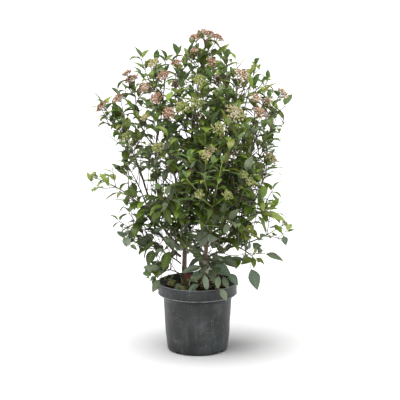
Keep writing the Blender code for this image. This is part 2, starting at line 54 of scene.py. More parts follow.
WALL_TOP_RADIUS = 0.1042
WALL_BEND_HEIGHT = 0.056
WALL_BEND_RADIUS = 0.0980
FOOT_RADIUS = 0.0920
FOOT_HEIGHT = 0.009
FOOT_FLAT_RADIUS = 0.0865
WALL = 0.0022
NOTCHES = 4
NOTCH_WIDTH = 0.024
NOTCH_HEIGHT = 0.0062
NOTCH_DEPTH = 0.030
NOTCH_MIDDLE = FOOT_RADIUS - 0.006
NOTCH_TURN = math.radians(-129)
FLOOR = 0.0085
SOIL_HEIGHT = 0.196
SOIL_LEVEL_RADIUS = 0.062
SOIL_FALL = 0.007
FLARE_HEIGHT = 0.026
LIMB_STEPS = 5
STEMS = {
    "stem_main": ((-0.04, 0.0), (-0.037, 0.006, 0.35), 0.0125, 0.0078, 0.0062),
    "stem_right": ((0.02, -0.014), (0.044, -0.018, 0.4), 0.01, 0.0063, 0.0048),
    "stem_back": ((0.026, 0.036), (0.022, 0.062, 0.42), 0.01, 0.006, 0.0046),
}
BOUGHS = {
    "bough_centre": ("stem_main", 1.0, (-0.015, 0.0, 0.68), 0.0052, 0.0032),
    "bough_left_high": ("stem_main", 0.93, (-0.12, -0.005, 0.66), 0.0046, 0.003),
    "bough_left_shoulder": ("stem_main", 0.76, (-0.165, -0.03, 0.54), 0.0044, 0.0029),
    "bough_left_belt": ("stem_main", 0.58, (-0.15, 0.0, 0.415), 0.004, 0.0027),
    "bough_front_left": ("stem_main", 0.86, (-0.06, -0.1, 0.52), 0.0042, 0.0028),
    "bough_right_high": ("stem_right", 1.0, (0.085, -0.005, 0.68), 0.0046, 0.003),
    "bough_right_shoulder": ("stem_right", 0.9, (0.15, -0.015, 0.57), 0.0042, 0.0028),
    "bough_right_belt": ("stem_right", 0.7, (0.145, -0.03, 0.43), 0.0038, 0.0026),
    "bough_front_right": ("stem_right", 0.8, (0.05, -0.115, 0.5), 0.0042, 0.0028),
    "bough_right_low": ("stem_right", 0.45, (0.13, -0.01, 0.325), 0.0034, 0.0024),
    "bough_back_high": ("stem_back", 1.0, (0.0, 0.105, 0.66), 0.0044, 0.0029),
    "bough_back_left": ("stem_back", 0.88, (-0.085, 0.13, 0.48), 0.0038, 0.0026),
    "bough_back_right": ("stem_back", 0.8, (0.095, 0.13, 0.48), 0.0038, 0.0026),
}
# Masses by the limb that each grows from: share of the limb's length, tip, and its cluster's radius.
MASS_TABLE = (
    ("bough_centre",
        ("top", 1.0, (0.022, 0.0, 0.922), 0.027), ("top_left", 0.95, (-0.06, -0.03, 0.868), 0.015),
        ("front_top", 0.8, (-0.004, -0.16, 0.77), 0.022),
    ),
    ("bough_left_high",
        ("left_top", 1.0, (-0.14, 0.04, 0.862), 0.014),
        ("left_top_inner", 0.96, (-0.094, -0.095, 0.838), 0.02),
        ("left_high", 0.9, (-0.186, -0.02, 0.815), 0.022),
    ),
    ("bough_left_shoulder",
        ("left_shoulder", 1.0, (-0.27, -0.028, 0.738), 0.022),
        ("left_middle", 0.94, (-0.2, -0.11, 0.662), 0.02),
    ),
    ("bough_left_belt",
        ("left_belt", 0.94, (-0.215, 0.07, 0.56), 0.0), ("left_sprig", 1.0, (-0.3, -0.015, 0.53), 0.016),
        ("left_inner", 0.86, (-0.18, -0.12, 0.49), 0.0),
    ),
    ("bough_front_left",
        ("front_left", 1.0, (-0.108, -0.18, 0.645), 0.018),
        ("front_left_low", 0.9, (-0.105, -0.2, 0.47), 0.0),
    ),
    ("bough_right_high",
        ("top_right", 1.0, (0.084, 0.03, 0.893), 0.014), ("rose", 0.95, (0.12, -0.07, 0.832), 0.028),
        ("right_top", 0.88, (0.16, 0.06, 0.828), 0.0),
    ),
    ("bough_right_shoulder",
        ("right_shoulder", 1.0, (0.24, -0.018, 0.775), 0.022),
        ("right_upper", 0.94, (0.175, -0.12, 0.735), 0.02), ("right_middle", 0.86, (0.22, 0.06, 0.645), 0.0),
    ),
    ("bough_right_belt",
        ("right_belt", 1.0, (0.208, -0.06, 0.59), 0.02), ("right_lower", 0.92, (0.215, -0.05, 0.45), 0.0),
    ),
    ("bough_front_right",
        ("front_upper", 1.0, (0.1, -0.17, 0.735), 0.032), ("front_middle", 0.95, (0.025, -0.22, 0.63), 0.018),
        ("front_right", 0.88, (0.145, -0.175, 0.545), 0.016),
        ("front_lower", 0.74, (0.045, -0.225, 0.49), 0.016),
    ),
    ("bough_right_low",
        ("right_sprig", 1.0, (0.255, 0.01, 0.38), 0.012), ("right_droop", 0.9, (0.17, -0.085, 0.3), 0.0),
    ),
    ("stem_right", ("right_front_low", 0.62, (0.14, -0.15, 0.405), 0.0)),
    ("bough_back_high",
        ("back_top", 1.0, (-0.02, 0.115, 0.865), 0.022), ("back_top_left", 0.95, (-0.13, 0.155, 0.765), 0.02),
        ("back_top_right", 0.9, (0.12, 0.155, 0.775), 0.024), ("back_middle", 0.7, (0.0, 0.215, 0.67), 0.02),
    ),
    ("bough_back_left",
        ("back_left", 1.0, (-0.185, 0.155, 0.6), 0.02), ("back_left_low", 0.88, (-0.13, 0.19, 0.425), 0.0),
    ),
    ("bough_back_right",
        ("back_right", 1.0, (0.185, 0.155, 0.59), 0.02), ("back_right_low", 0.88, (0.13, 0.19, 0.415), 0.0),
    ),
    ("stem_back", ("back_lower", 0.66, (0.0, 0.215, 0.48), 0.0)),
    ("stem_main",
        ("left_low", 0.44, (-0.215, 0.0, 0.35), 0.0), ("front_low", 0.66, (-0.05, -0.165, 0.395), 0.0),
    ),
    ("stem_right", ("front_foot", 0.25, (0.034, -0.108, 0.278), 0.0)),
    ("stem_main", ("left_foot", 0.22, (-0.105, -0.05, 0.262), 0.0)),
    ("stem_back", ("back_foot", 0.25, (0.01, 0.125, 0.29), 0.0)),
)
MASSES = {f"mass_{name}": (limb, *place) for limb, *places in MASS_TABLE for name, *place in places}
SEED = 7
LEADER_RADII = (0.0023, 0.0013)
TWIG_RADII = (0.0014, 0.0010)
BARE_SHARE = 0.22
INTERNODE = 0.034
LOW_INTERNODE_CUT = 0.30
LEAST_NODES = 4
TWIG_LENGTH = 0.050
TWIG_GAIN = 0.018
TWIG_MOST = 0.125
TWIG_TRIES = (1.0, 0.78, 0.58)
TWIG_STEPS = 2
LEAVE_AXIS = 0.62
LEAVE_SIDE = 0.78
RISE = 0.20
BRANCH_BEND = 0.42
LEAF_LENGTH = 0.068
LEAF_WIDTH = 0.53
LEAF_WIDEST = 0.54
LEAF_SPREAD = 0.20
LEAF_LOW_GAIN = 0.16
# How far leaves lean along their twig, and how much less they do at the foot of the crown.
LEAF_LIFT = 0.62
LEAF_LIFT_CUT = 0.42
# The height where leaves begin to be larger and more level, and how far down that grows.
LOW_HEIGHT = 0.62
LOW_DEPTH = 0.34
LEAF_SINK = 0.0006
LEAF_TRIES = ((1.0, 0.0), (0.88, 0.5), (0.76, 1.2))
LEAF_APART = 0.017
SPACE_MARGIN = 0.0010
LIMB_MARGIN = 0.0045
POT_MARGIN = 0.004
CROWN_HEIGHTS = (0.20, 0.28, 0.36, 0.50, 0.66, 0.80, 0.88, 0.94, 0.98)
CROWN_REACHES = (0.15, 0.20, 0.255, 0.265, 0.270, 0.265, 0.215, 0.135, 0.060)
CROWN_DEPTH = 0.92
CROWN_LEADER_REACH = 0.052

UP = np.array([0.0, 0.0, 1.0])
LEVEL = np.array([0.31, 0.17, 0.94])
# Where a leaf's outline is tested: shares of its length, and of half its width.
OUTLINE = (
    (0.2, 0),
    (0.36, 0),
    *((LEAF_WIDEST, out) for out in (-1, -0.5, 0, 0.5, 1)),
    *((0.77, out) for out in (-0.5, 0, 0.5)),
    (1.0, 0),
)


def draws(label):
    """A source of random numbers from 0 to 1 of its own."""
    return random.Random(f"{SEED} {label}").random


def unit(vector):
    return vector / np.linalg.norm(vector)


def across(vector, axis):
    """The part of a vector that is square to an axis, at length 1."""
    return unit(vector - axis * np.dot(vector, axis))


def side_round(axis, turn, level=LEVEL):
    """A direction square to an axis, at a turn round it."""
    level = across(level, axis)
    return math.cos(turn) * level + math.sin(turn) * np.cross(axis, level)


def scatter(draw):
    return np.array([draw() - 0.5 for _ in range(3)])


def bend(start, control, end, steps):
    """Points along a quadratic curve, both ends included."""
    share = np.linspace(0.0, 1.0, steps + 1)[:, None]
    return (1 - share) ** 2 * start + 2 * share * (1 - share) * control + share**2 * end


def reach_along(path):
    """The distance along a path at each of its points."""
    return np.concatenate([[0.0], np.cumsum(np.linalg.norm(np.diff(path, axis=0), axis=1))])


class Limb:
    """A tapering limb: points along its centre line, the radius at each, and the curve behind them."""

    def __init__(self, points, radii, curve, age=None):
        self.points = np.asarray(points, dtype=float)
        self.radii = np.asarray(radii, dtype=float)
        self.curve = curve
        self.age = age
        self.reach = reach_along(self.points)
        self.length = self.reach[-1]

    def at(self, distance):
        """The point, direction and radius at a distance along the limb."""
        index = int(np.clip(np.searchsorted(self.reach, distance) - 1, 0, len(self.points) - 2))
        span = self.points[index + 1] - self.points[index]
        share = (distance - self.reach[index]) / np.linalg.norm(span)
        radius = self.radii[index] * (1 - share) + self.radii[index + 1] * share
        return self.points[index] + span * share, unit(span), radius

    def path(self, spacing):
        """Closer points along the limb's curve."""
        return bend(*self.curve, max(3, int(self.length / spacing)))


def curved(curve, radii, steps, age=None):
    """A limb along a curve (start, control, tip), tapering from the first radius to the second."""
    return Limb(bend(*curve, steps), np.linspace(*radii, steps + 1), curve, age)


def branch(parent, share, tip, radii, age=None):
    """A limb that leaves its parent, GAP clear of it, and bends up to its tip."""
    tip = np.array(tip)
    point, axis, parent_radius = parent.at(parent.length * share)
    start, heading = point + axis * GAP, axis
    if share < 1.0:
        side = across(tip - point, axis)
        start = point + side * (parent_radius + radii[0] + GAP)
        heading = unit(axis * LEAVE_AXIS + side * LEAVE_SIDE)
    control = start + heading * np.linalg.norm(tip - start) * BRANCH_BEND
    return curved((start, control, tip), radii, LIMB_STEPS, age)


def grow_stem(foot, tip, flare, radius, tip_radius):
    """A stem from its flat cut on the compost, with a root flare, up to its fork."""
    start = np.array([*foot, SOIL_HEIGHT + GAP])
    flare_top, tip = start + UP * FLARE_HEIGHT, np.array(tip)
    curve = (flare_top, flare_top + UP * ((tip[2] - flare_top[2]) * 0.5), tip)
    points = np.vstack([start, start + UP * (FLARE_HEIGHT * 0.35), bend(*curve, LIMB_STEPS)])
    taper = np.linspace(radius, tip_radius, LIMB_STEPS + 1)
    return Limb(points, [flare, flare * 0.45 + radius * 0.55, *taper], curve)


class Paths:
    """The centre lines of several limbs, for distances to their surfaces."""

    def __init__(self, paths):
        self.starts = np.vstack([path.points[:-1] for path in paths])
        self.spans = np.vstack([path.points[1:] for path in paths]) - self.starts
        self.start_radii = np.concatenate([path.radii[:-1] for path in paths])
        self.end_radii = np.concatenate([path.radii[1:] for path in paths])
        self.squares = np.einsum("sk,sk->s", self.spans, self.spans)

    def distances(self, points):
        """The distance from each point to the surface of the nearest of these limbs."""
        shares = np.einsum("psk,sk->ps", points[:, None] - self.starts, self.spans) / self.squares
        shares = np.clip(shares, 0.0, 1.0)
        gaps = np.linalg.norm(points[:, None] - (self.starts + shares[..., None] * self.spans), axis=2)
        return (gaps - self.start_radii * (1 - shares) - self.end_radii * shares).min(axis=1)


def touches_pot(points):
    radius, height = np.hypot(points[:, 0], points[:, 1]), points[:, 2]
    inside = (radius < WALL_TOP_RADIUS - POT_MARGIN) & (height > SOIL_HEIGHT + POT_MARGIN)
    low = height < POT_HEIGHT + POT_MARGIN
    return bool(np.any(low & (radius <= RIM_RADIUS + POT_MARGIN) & ~inside))


def past_crown(points):
    """How far each point is outside the crown's widest shape, below 0 inside it."""
    reach = np.hypot(points[:, 0], points[:, 1] / CROWN_DEPTH)
    return reach - np.interp(points[:, 2], CROWN_HEIGHTS, CROWN_REACHES)


class Room:
    """The space that a mass keeps to: nearer its own leader than any other, and off limbs and pot."""

    def __init__(self, name):
        self.own = Paths([leaders[name]])
        self.others = Paths([leader for other, leader in leaders.items() if other != name])

    def holds(self, points, margin=SPACE_MARGIN):
        """Whether a twig or leaf that passes these points keeps to the space."""
        own = self.own.distances(points)
        return not (
            (self.others.distances(points) - own).min() < margin
            or np.any((past_crown(points) > 0) & (own > CROWN_LEADER_REACH))
            or limb_paths.distances(points).min() < LIMB_MARGIN
            or touches_pot(points)
        )


class Leaf:
    """One leaf: its root, the way it points, the way its face looks, and its length.

    A posed leaf also has its own ratio of width to length and its own scale, and is drawn as it's given.
    """

    def __init__(self, root, heading, face, length, tone=None, ratio=None, scale=None):
        self.root, self.length = root, length
        self.heading = unit(heading)
        self.face = across(face, self.heading)
        self.tone, self.ratio, self.scale = tone, ratio, scale
        self.posed = ratio is not None
        self.crowning = False

    def middle(self):
        return self.root + self.heading * self.length * LEAF_WIDEST

    def outline(self):
        """Points over the leaf, from near its root to its tip."""
        side = np.cross(self.face, self.heading) * LEAF_WIDTH / 2
        return np.array([self.root + (self.heading * far + side * out) * self.length for far, out in OUTLINE])


def low_share(height):
    """1 at the foot of the crown, 0 from its middle up: lower leaves are larger and more level."""
    return float(np.clip((LOW_HEIGHT - height) / LOW_DEPTH, 0.0, 1.0))


class Growth:
    """The twigs and leaves of one mass. Whatever would leave its room is made smaller, or left off."""

    def __init__(self, name):
        self.draw = draws(name)
        self.room = Room(name)
        self.twigs, self.leaves, self.nodes = [], [], []
        self.spray = 0
        leader = leaders[name]
        leafy = leader.length * (1 - BARE_SHARE)
        internode = INTERNODE * (1 - LOW_INTERNODE_CUT * low_share(leader.points[-1][2]))
        internode = min(internode, leafy / LEAST_NODES)
        first_turn = self.draw() * math.pi
        for node in range(int(leafy / internode + 0.01)):
            root, axis, _ = leader.at(leader.length - max(node * internode, LEAF_SINK * 6))
            side = side_round(axis, first_turn + node * math.pi / 2)
            self.nodes.append((node, root, axis, side))
            if node == 0:
                self.add_end_leaf(leader, side)
                for leaf in self.leaves:
                    leaf.crowning = True
            if node < 2 or node % 2 == 1:
                self.add_pair(root, axis, side)
                continue
            for way in (side, -side):
                self.add_twig(root, axis, way, min(TWIG_LENGTH + TWIG_GAIN * node, TWIG_MOST))

    def add_leaf(self, root, axis, side, lift, fall, face, length):
        """A leaf, tried shorter and closer to its twig where the room is narrow."""
        for scale, extra_lift in LEAF_TRIES:
            heading = unit(side + axis * (lift + extra_lift) + UP * fall)
            leaf = Leaf(root - heading * LEAF_SINK, heading, face, length * scale)
            middle = leaf.middle()
            if any(np.linalg.norm(middle - other.middle()) < LEAF_APART for other in self.leaves):
                continue
            if self.room.holds(leaf.outline()):
                leaf.spray = self.spray
                self.leaves.append(leaf)
                return

    def add_pair(self, root, axis, side):
        """Two leaves opposite each other on a twig."""
        low = low_share(root[2])
        for sign in (1, -1):
            length = LEAF_LENGTH * (1 + LEAF_LOW_GAIN * low)
            length *= 1 + LEAF_SPREAD * (self.draw() - 0.5)
            lift = (LEAF_LIFT - LEAF_LIFT_CUT * low) * (0.6 + 0.8 * self.draw())
            fall = 0.10 - 0.36 * low * self.draw()
            face = axis + UP * 0.7 + side * (self.draw() - 0.5) * 0.8
            self.add_leaf(root, axis, side * sign, lift, fall, face, length)

    def add_end_leaf(self, twig, side):
        tip, axis, _ = twig.at(twig.length)
        length = LEAF_LENGTH * (0.86 + 0.2 * self.draw())
        face = np.cross(axis, side) + side * (self.draw() - 0.5)
        self.add_leaf(tip - axis * LEAF_SINK * 3, axis, side * 0.25, 1.0, 0.0, face, length)

    def add_twig(self, start, axis, side, length):
        """A side twig that bends up, with a pair of leaves part way and a pair and an end leaf at its tip."""
        length *= 0.8 + 0.4 * self.draw()
        turn = self.draw() * math.pi
        heading = unit(axis * LEAVE_AXIS + side * LEAVE_SIDE)
        for scale in TWIG_TRIES:
            tip = start + unit(heading + UP * RISE) * length * scale
            twig = curved((start, start + heading * length * scale * 0.5, tip), TWIG_RADII, TWIG_STEPS)
            if self.room.holds(twig.points[1:]):
                break
        else:
            return
        self.twigs.append(twig)
        twig.turn = turn
        self.spray = len(self.twigs)
        for node, share in enumerate((0.50, 0.94)):
            root, way, _ = twig.at(twig.length * share)
            side = side_round(way, turn + node * math.pi / 2)
            self.add_pair(root, way, side)
        self.add_end_leaf(twig, side)
        self.spray = 0


# ---------------------------------------------------------------- finer growth, shown here only
FINE_LEAF = 0.80
FINE_APART = 0.0125
FINE_SHARES = (0.26, 0.74)
FINE_MARGIN = -0.012
SHOOT_LEAST_TWIG = 0.052
SHOOT_LENGTH = 0.040
SHOOT_RADII = (0.0010, 0.0007)
PLACED_RADII = (0.0012, 0.0009)
TABLE_SHOOT_RADII = (0.0015, 0.0011)
TABLE_SHOOT_NODES = 0.034
# The fresh yellow-green shoots that stand in front of the crown.
FRESH_FRONT = -0.2
FRESH_RADII = (0.0021, 0.0014)
# Where along them they are kept clear: first and last distance from the tip, and step.
FRESH_STEPS = (0.012, 0.110, 0.014)
# How far round a fresh shoot, a bare place and a single leaf is kept free of other leaves.
FRESH_SHOW = 0.008
BARE_SHOW = 0.011
PLACED_SHOW = 0.016
PLACED_SCALE = 1.06
# How old a twig looks, by its tip's bark.
YOUNG_AGE = 0.3
OLD_AGE = 0.45
# Numbers that tell the sprays of one kind from another's.
TABLE_SPRAYS = 100
WAND_SPRAYS = 1000
PLACED_SPRAYS = 5000

# Shoots of the photo: mass, share of its leader, tip, cluster radius, and the cluster's tint or the leaves'
# tone where there is no cluster.
SHOOTS = (
    ("front_top", 0.7, (-0.043, -0.17, 0.761), 0.02, "green"),
    ("left_top_inner", 0.62, (-0.113, -0.12, 0.78), 0.02, "rose"),
    ("left_top_inner", 0.8, (-0.121, -0.08, 0.874), 0.018, "cream"),
    ("left_high", 0.72, (-0.15, -0.09, 0.807), 0.018, "rose"),
    ("top", 0.72, (0.037, -0.06, 0.88), 0.016, "rose"), ("top", 0.8, (-0.007, -0.03, 0.905), 0.012, "rose"),
    ("front_top", 0.8, (0.005, -0.15, 0.837), 0.018, "green"),
    ("front_middle", 0.82, (0.036, -0.205, 0.646), 0.014, "cream"),
    ("front_upper", 0.74, (0.062, -0.19, 0.703), 0.022, "green"),
    ("left_top_inner", 0.5, (-0.082, -0.165, 0.746), 0.018, "rose"),
    ("left_middle", 0.78, (-0.149, -0.13, 0.725), 0.013, "cream"),
    ("front_right", 0.78, (0.13, -0.18, 0.567), 0.013, "green"),
    ("right_shoulder", 0.74, (0.168, -0.08, 0.773), 0.016, "blush"),
    ("right_shoulder", 0.84, (0.202, -0.05, 0.76), 0.016, "blush"),
    ("left_high", 0.84, (-0.202, -0.02, 0.836), 0.015, "rose"),
    ("front_lower", 0.74, (0.082, -0.225, 0.517), 0.015, "green"),
    ("front_lower", 0.66, (0.007, -0.23, 0.52), 0.014, "green"),
    ("top", 0.84, (-0.004, -0.014, 0.938), 0.019, "rose"),
    ("top", 0.88, (0.053, -0.008, 0.938), 0.019, "rose"), ("top", 0.96, (0.024, -0.01, 0.938), 0.03, "rose"),
    ("left_top", 0.66, (-0.166, -0.01, 0.888), 0.0, "mid"),
    ("left_top", 0.78, (-0.122, -0.01, 0.88), 0.0, "dark"),
    ("left_top_inner", 0.8, (-0.094, -0.05, 0.884), 0.0, "mid"),
    ("top_left", 0.72, (-0.062, -0.02, 0.898), 0.0, "dark"),
    ("top_left", 0.86, (-0.026, -0.02, 0.896), 0.0, "mid"),
    ("top_right", 0.84, (0.088, -0.005, 0.884), 0.0, "mid"),
    ("right_top", 0.8, (0.172, 0.01, 0.862), 0.0, "mid"),
    ("right_shoulder", 0.72, (0.206, -0.015, 0.826), 0.0, "young"),
    ("left_shoulder", 0.84, (-0.284, -0.03, 0.748), 0.0, "bright"),
    ("left_shoulder", 0.7, (-0.262, -0.04, 0.7), 0.0, "mid"),
    ("left_middle", 0.7, (-0.214, -0.09, 0.7), 0.0, "olive"),
    ("front_lower", 0.42, (0.019, -0.235, 0.572), 0.0, "young"),
    ("front_lower", 0.4, (-0.032, -0.23, 0.572), 0.0, "young"),
    ("front_lower", 0.5, (0.071, -0.24, 0.622), 0.0, "young"),
    ("right_belt", 0.66, (0.188, -0.1, 0.53), 0.0, "bright"),
    ("right_lower", 0.72, (0.19, -0.1, 0.48), 0.0, "young"),
    ("right_lower", 0.8, (0.222, -0.06, 0.5), 0.0, "bright"),
    ("back_top", 0.7, (0.05, 0.15, 0.8), 0.018, "rose"),
    ("back_top_left", 0.66, (-0.09, 0.19, 0.7), 0.018, "rose"),
    ("back_top_right", 0.66, (0.165, 0.13, 0.715), 0.018, "cream"),
    ("back_left", 0.66, (-0.12, 0.205, 0.56), 0.016, "green"),
    ("back_right", 0.62, (0.11, 0.21, 0.56), 0.016, "cream"),
    ("back_top", 0.6, (-0.06, 0.17, 0.78), 0.016, "rose"),
    ("left_shoulder", 0.62, (-0.224, -0.07, 0.77), 0.018, "rose"),
    ("left_high", 0.56, (-0.19, -0.085, 0.748), 0.0, "mid"),
    ("front_low", 0.62, (-0.03, -0.175, 0.446), 0.0, "dark"),
    ("front_lower", 0.3, (0.092, -0.205, 0.44), 0.0, "dusk"),
    ("front_left_low", 0.6, (-0.062, -0.17, 0.44), 0.0, "dark"),
    ("left_inner", 0.6, (-0.212, -0.05, 0.462), 0.0, "dark"),
    ("left_low", 0.66, (-0.205, -0.03, 0.428), 0.0, "dusk"),
    ("left_low", 0.55, (-0.176, -0.06, 0.41), 0.0, "dark"),
    ("left_low", 0.8, (-0.236, -0.01, 0.398), 0.0, "mid"),
    ("left_inner", 0.72, (-0.232, -0.06, 0.5), 0.0, "dark"),
    ("front_low", 0.6, (-0.098, -0.09, 0.33), 0.0, "dusk"),
)
# Single leaves that stand out: root, tip, width as a share of length, and tone.
PLACED_LEAVES = (
    ((0.016, -0.105, 0.277), (-0.043, -0.12, 0.277), 0.44, "pale"),
    ((0.019, -0.108, 0.271), (-0.016, -0.14, 0.258), 0.5, "pale"),
    ((0.016, -0.105, 0.289), (-0.022, -0.11, 0.354), 0.32, "dusk"),
    ((0.022, -0.07, 0.329), (0.007, -0.085, 0.379), 0.66, "grey"),
    ((0.046, -0.08, 0.344), (0.043, -0.085, 0.382), 0.78, "pale"),
    ((0.034, -0.105, 0.298), (0.073, -0.115, 0.319), 0.4, "grey"),
    ((0.037, -0.108, 0.287), (0.099, -0.135, 0.266), 0.56, "blue"),
    ((0.064, -0.085, 0.305), (0.114, -0.115, 0.291), 0.6, "dusk"),
    ((0.085, -0.085, 0.299), (0.141, -0.11, 0.311), 0.26, "dusk"),
    ((0.076, -0.08, 0.317), (0.055, -0.085, 0.345), 0.55, "deep"),
    ((0.082, -0.08, 0.317), (0.097, -0.085, 0.348), 0.42, "deep"),
    ((0.091, -0.11, 0.266), (0.12, -0.13, 0.234), 0.5, "blue"),
    ((0.073, -0.108, 0.256), (0.093, -0.122, 0.22), 0.46, "dusk"),
    ((0.064, -0.122, 0.223), (0.087, -0.134, 0.186), 0.5, "grey"),
    ((0.064, -0.108, 0.259), (0.058, -0.118, 0.216), 0.44, "grey"),
    ((0.019, -0.108, 0.265), (0.031, -0.119, 0.207), 0.3, "pale"),
    ((0.01, -0.1, 0.227), (-0.028, -0.112, 0.211), 0.46, "pale"),
    ((-0.0446, -0.08, 0.2257), (-0.0735, -0.09, 0.2032), 0.44, "dusk"),
    ((-0.109, -0.06, 0.235), (-0.139, -0.07, 0.197), 0.5, "dusk"),
    ((-0.121, -0.05, 0.239), (-0.145, -0.055, 0.227), 0.42, "dusk"),
    ((-0.082, -0.09, 0.331), (-0.102, -0.12, 0.28), 0.5, "dark"),
    ((-0.129, -0.08, 0.332), (-0.15, -0.095, 0.286), 0.52, "deep"),
    ((-0.058, -0.07, 0.323), (-0.082, -0.09, 0.307), 0.6, "dusk"),
    ((-0.09, -0.1, 0.37), (-0.069, -0.12, 0.341), 0.55, "grey"),
    ((-0.12, -0.09, 0.358), (-0.161, -0.105, 0.332), 0.36, "deep"),
    ((0.157, -0.075, 0.275), (0.18, -0.09, 0.209), 0.5, "blue"),
    ((0.196, -0.05, 0.309), (0.256, -0.06, 0.293), 0.38, "dusk"),
    ((0.257, -0.01, 0.359), (0.235, -0.02, 0.389), 0.46, "bright"),
    ((0.266, -0.005, 0.364), (0.292, -0.005, 0.374), 0.3, "young"),
    ((0.257, -0.01, 0.356), (0.266, -0.03, 0.332), 0.6, "blue"),
    ((0.179, -0.08, 0.435), (0.22, -0.095, 0.444), 0.44, "olive"),
    ((0.191, -0.075, 0.44), (0.259, -0.09, 0.425), 0.36, "young"),
    ((0.018, -0.02, 0.944), (0.004, -0.02, 0.975), 0.5, "dark"),
    ((0.052, -0.01, 0.9), (0.09, -0.01, 0.936), 0.3, "mid"),
)
PLACED_FACE = np.array([0.0, -0.62, 0.78])
# Where the stems show above the pot, with no leaf in front of them.
BARE_PLACES = (
    (-0.044, 0.0, 0.258), (-0.043, 0.0, 0.28), (-0.042, 0.0, 0.302), (-0.041, 0.0, 0.324),
    (0.028, 0.0, 0.318), (0.026, 0.0, 0.302),
)
TINTED_MASSES = {
    "blush": ("rose", "right_shoulder"),
    "green": (
        "front_top", "left_top", "left_middle", "left_sprig", "front_left", "front_right", "right_sprig",
        "top_right", "back_right",
    ),
    "rose": ("top_left",),
    "cream": ("right_belt", "front_upper", "front_middle", "back_middle", "back_left"),
}
CLUSTER_TINTS = {f"mass_{name}": tint for tint, names in TINTED_MASSES.items() for name in names}
SMALLER_MASSES = ("mass_right_front_low", "mass_right_droop", "mass_front_low", "mass_left_low")
# Masses whose own tip has no cluster, because shoots of the table end beside it.
BARE_TIPS = ("mass_top", "mass_front_lower")
YOUNG_MASSES = (
    "mass_left_sprig", "mass_right_sprig", "mass_front_right", "mass_left_top", "mass_front_middle",
)
# The camera's place. What the front view shows is told by where its lines cross y = 0.
EYE = np.array([0.0075, -5.5, 1.6])
# Sky that shows through the crown from the front: centre (x, z) and radius.
SKY_GAPS = np.array((
    (-0.187, 0.544, 0.018), (-0.203, 0.461, 0.018), (-0.113, 0.415, 0.011), (-0.121, 0.65, 0.021),
    (-0.076, 0.531, 0.021), (-0.037, 0.674, 0.015), (0.031, 0.74, 0.012), (0.177, 0.719, 0.012),
    (-0.098, 0.288, 0.022), (-0.065, 0.27, 0.018), (0.053, 0.31, 0.018), (0.128, 0.294, 0.021),
    (0.165, 0.282, 0.021), (-0.017, 0.291, 0.015), (-0.164, 0.375, 0.012), (-0.232, 0.528, 0.021),
    (-0.209, 0.415, 0.018), (-0.255, 0.598, 0.018), (-0.087, 0.788, 0.012), (0.172, 0.613, 0.012),
    (-0.148, 0.583, 0.015), (-0.15, 0.5, 0.015), (-0.126, 0.482, 0.01), (0.193, 0.522, 0.015),
    (-0.171, 0.74, 0.012), (-0.006, 0.832, 0.01), (-0.03, 0.802, 0.01), (-0.134, 0.66, 0.01),
    (-0.108, 0.536, 0.01), (-0.084, 0.214, 0.026), (-0.052, 0.214, 0.024), (-0.102, 0.226, 0.02),
    (-0.03, 0.235, 0.016), (0.096, 0.214, 0.014),
))
# Where the crown is thinner from the front: centre (x, z), half width, half height, and the share kept.
THIN_PLACES = np.array((
    (-0.15, 0.848, 0.06, 0.05, 0.3), (-0.1, 0.8, 0.05, 0.05, 0.55), (-0.05, 0.865, 0.055, 0.04, 0.45),
    (-0.02, 0.8, 0.055, 0.06, 0.55), (0.145, 0.845, 0.06, 0.055, 0.3), (0.105, 0.905, 0.05, 0.035, 0.3),
    (0.205, 0.8, 0.05, 0.09, 0.5), (0.155, 0.75, 0.05, 0.075, 0.45), (-0.138, 0.5, 0.055, 0.05, 0.25),
    (0.215, 0.475, 0.045, 0.07, 0.25), (-0.06, 0.74, 0.06, 0.05, 0.74), (-0.14, 0.7, 0.06, 0.06, 0.8),
))
# The crown's outline from the front: height, left edge and right edge.
FRONT_HEIGHTS = (
    0.2, 0.245, 0.291, 0.338, 0.4, 0.461, 0.522, 0.583, 0.644, 0.704, 0.764, 0.824, 0.866, 0.89, 0.913, 0.961,
)
FRONT_LEFT = (
    -0.13, -0.15, -0.2, -0.255, -0.265, -0.25, -0.238, -0.248, -0.25, -0.27, -0.262, -0.226, -0.205, -0.165,
    -0.03, -0.01,
)
FRONT_RIGHT = (
    0.12, 0.17, 0.21, 0.225, 0.235, 0.242, 0.25, 0.252, 0.258, 0.262, 0.25, 0.22, 0.2, 0.185, 0.11, 0.06,
)
# The lower middle from the front, filled denser, and whose leaves are dealt darker tones as painted shade:
# centre (x, z), half width and half height, and how far back it goes.
CORE = (0.006, 0.412, 0.154, 0.130)
CORE_BACK = 0.06
CROWN_TOP = 0.945
INFILL_STEP = 0.034
INFILL_LENGTH = (0.080, 0.130)
INFILL_RADII = (0.0013, 0.0008)
INFILL_LEAF = (0.041, 0.020)
INFILL_PAIRS = 0.028
INFILL_LEAFY = 0.78
INFILL_LIMB_GAP = 0.0015
INFILL_TRIES = (1.0, 0.75, 0.5)


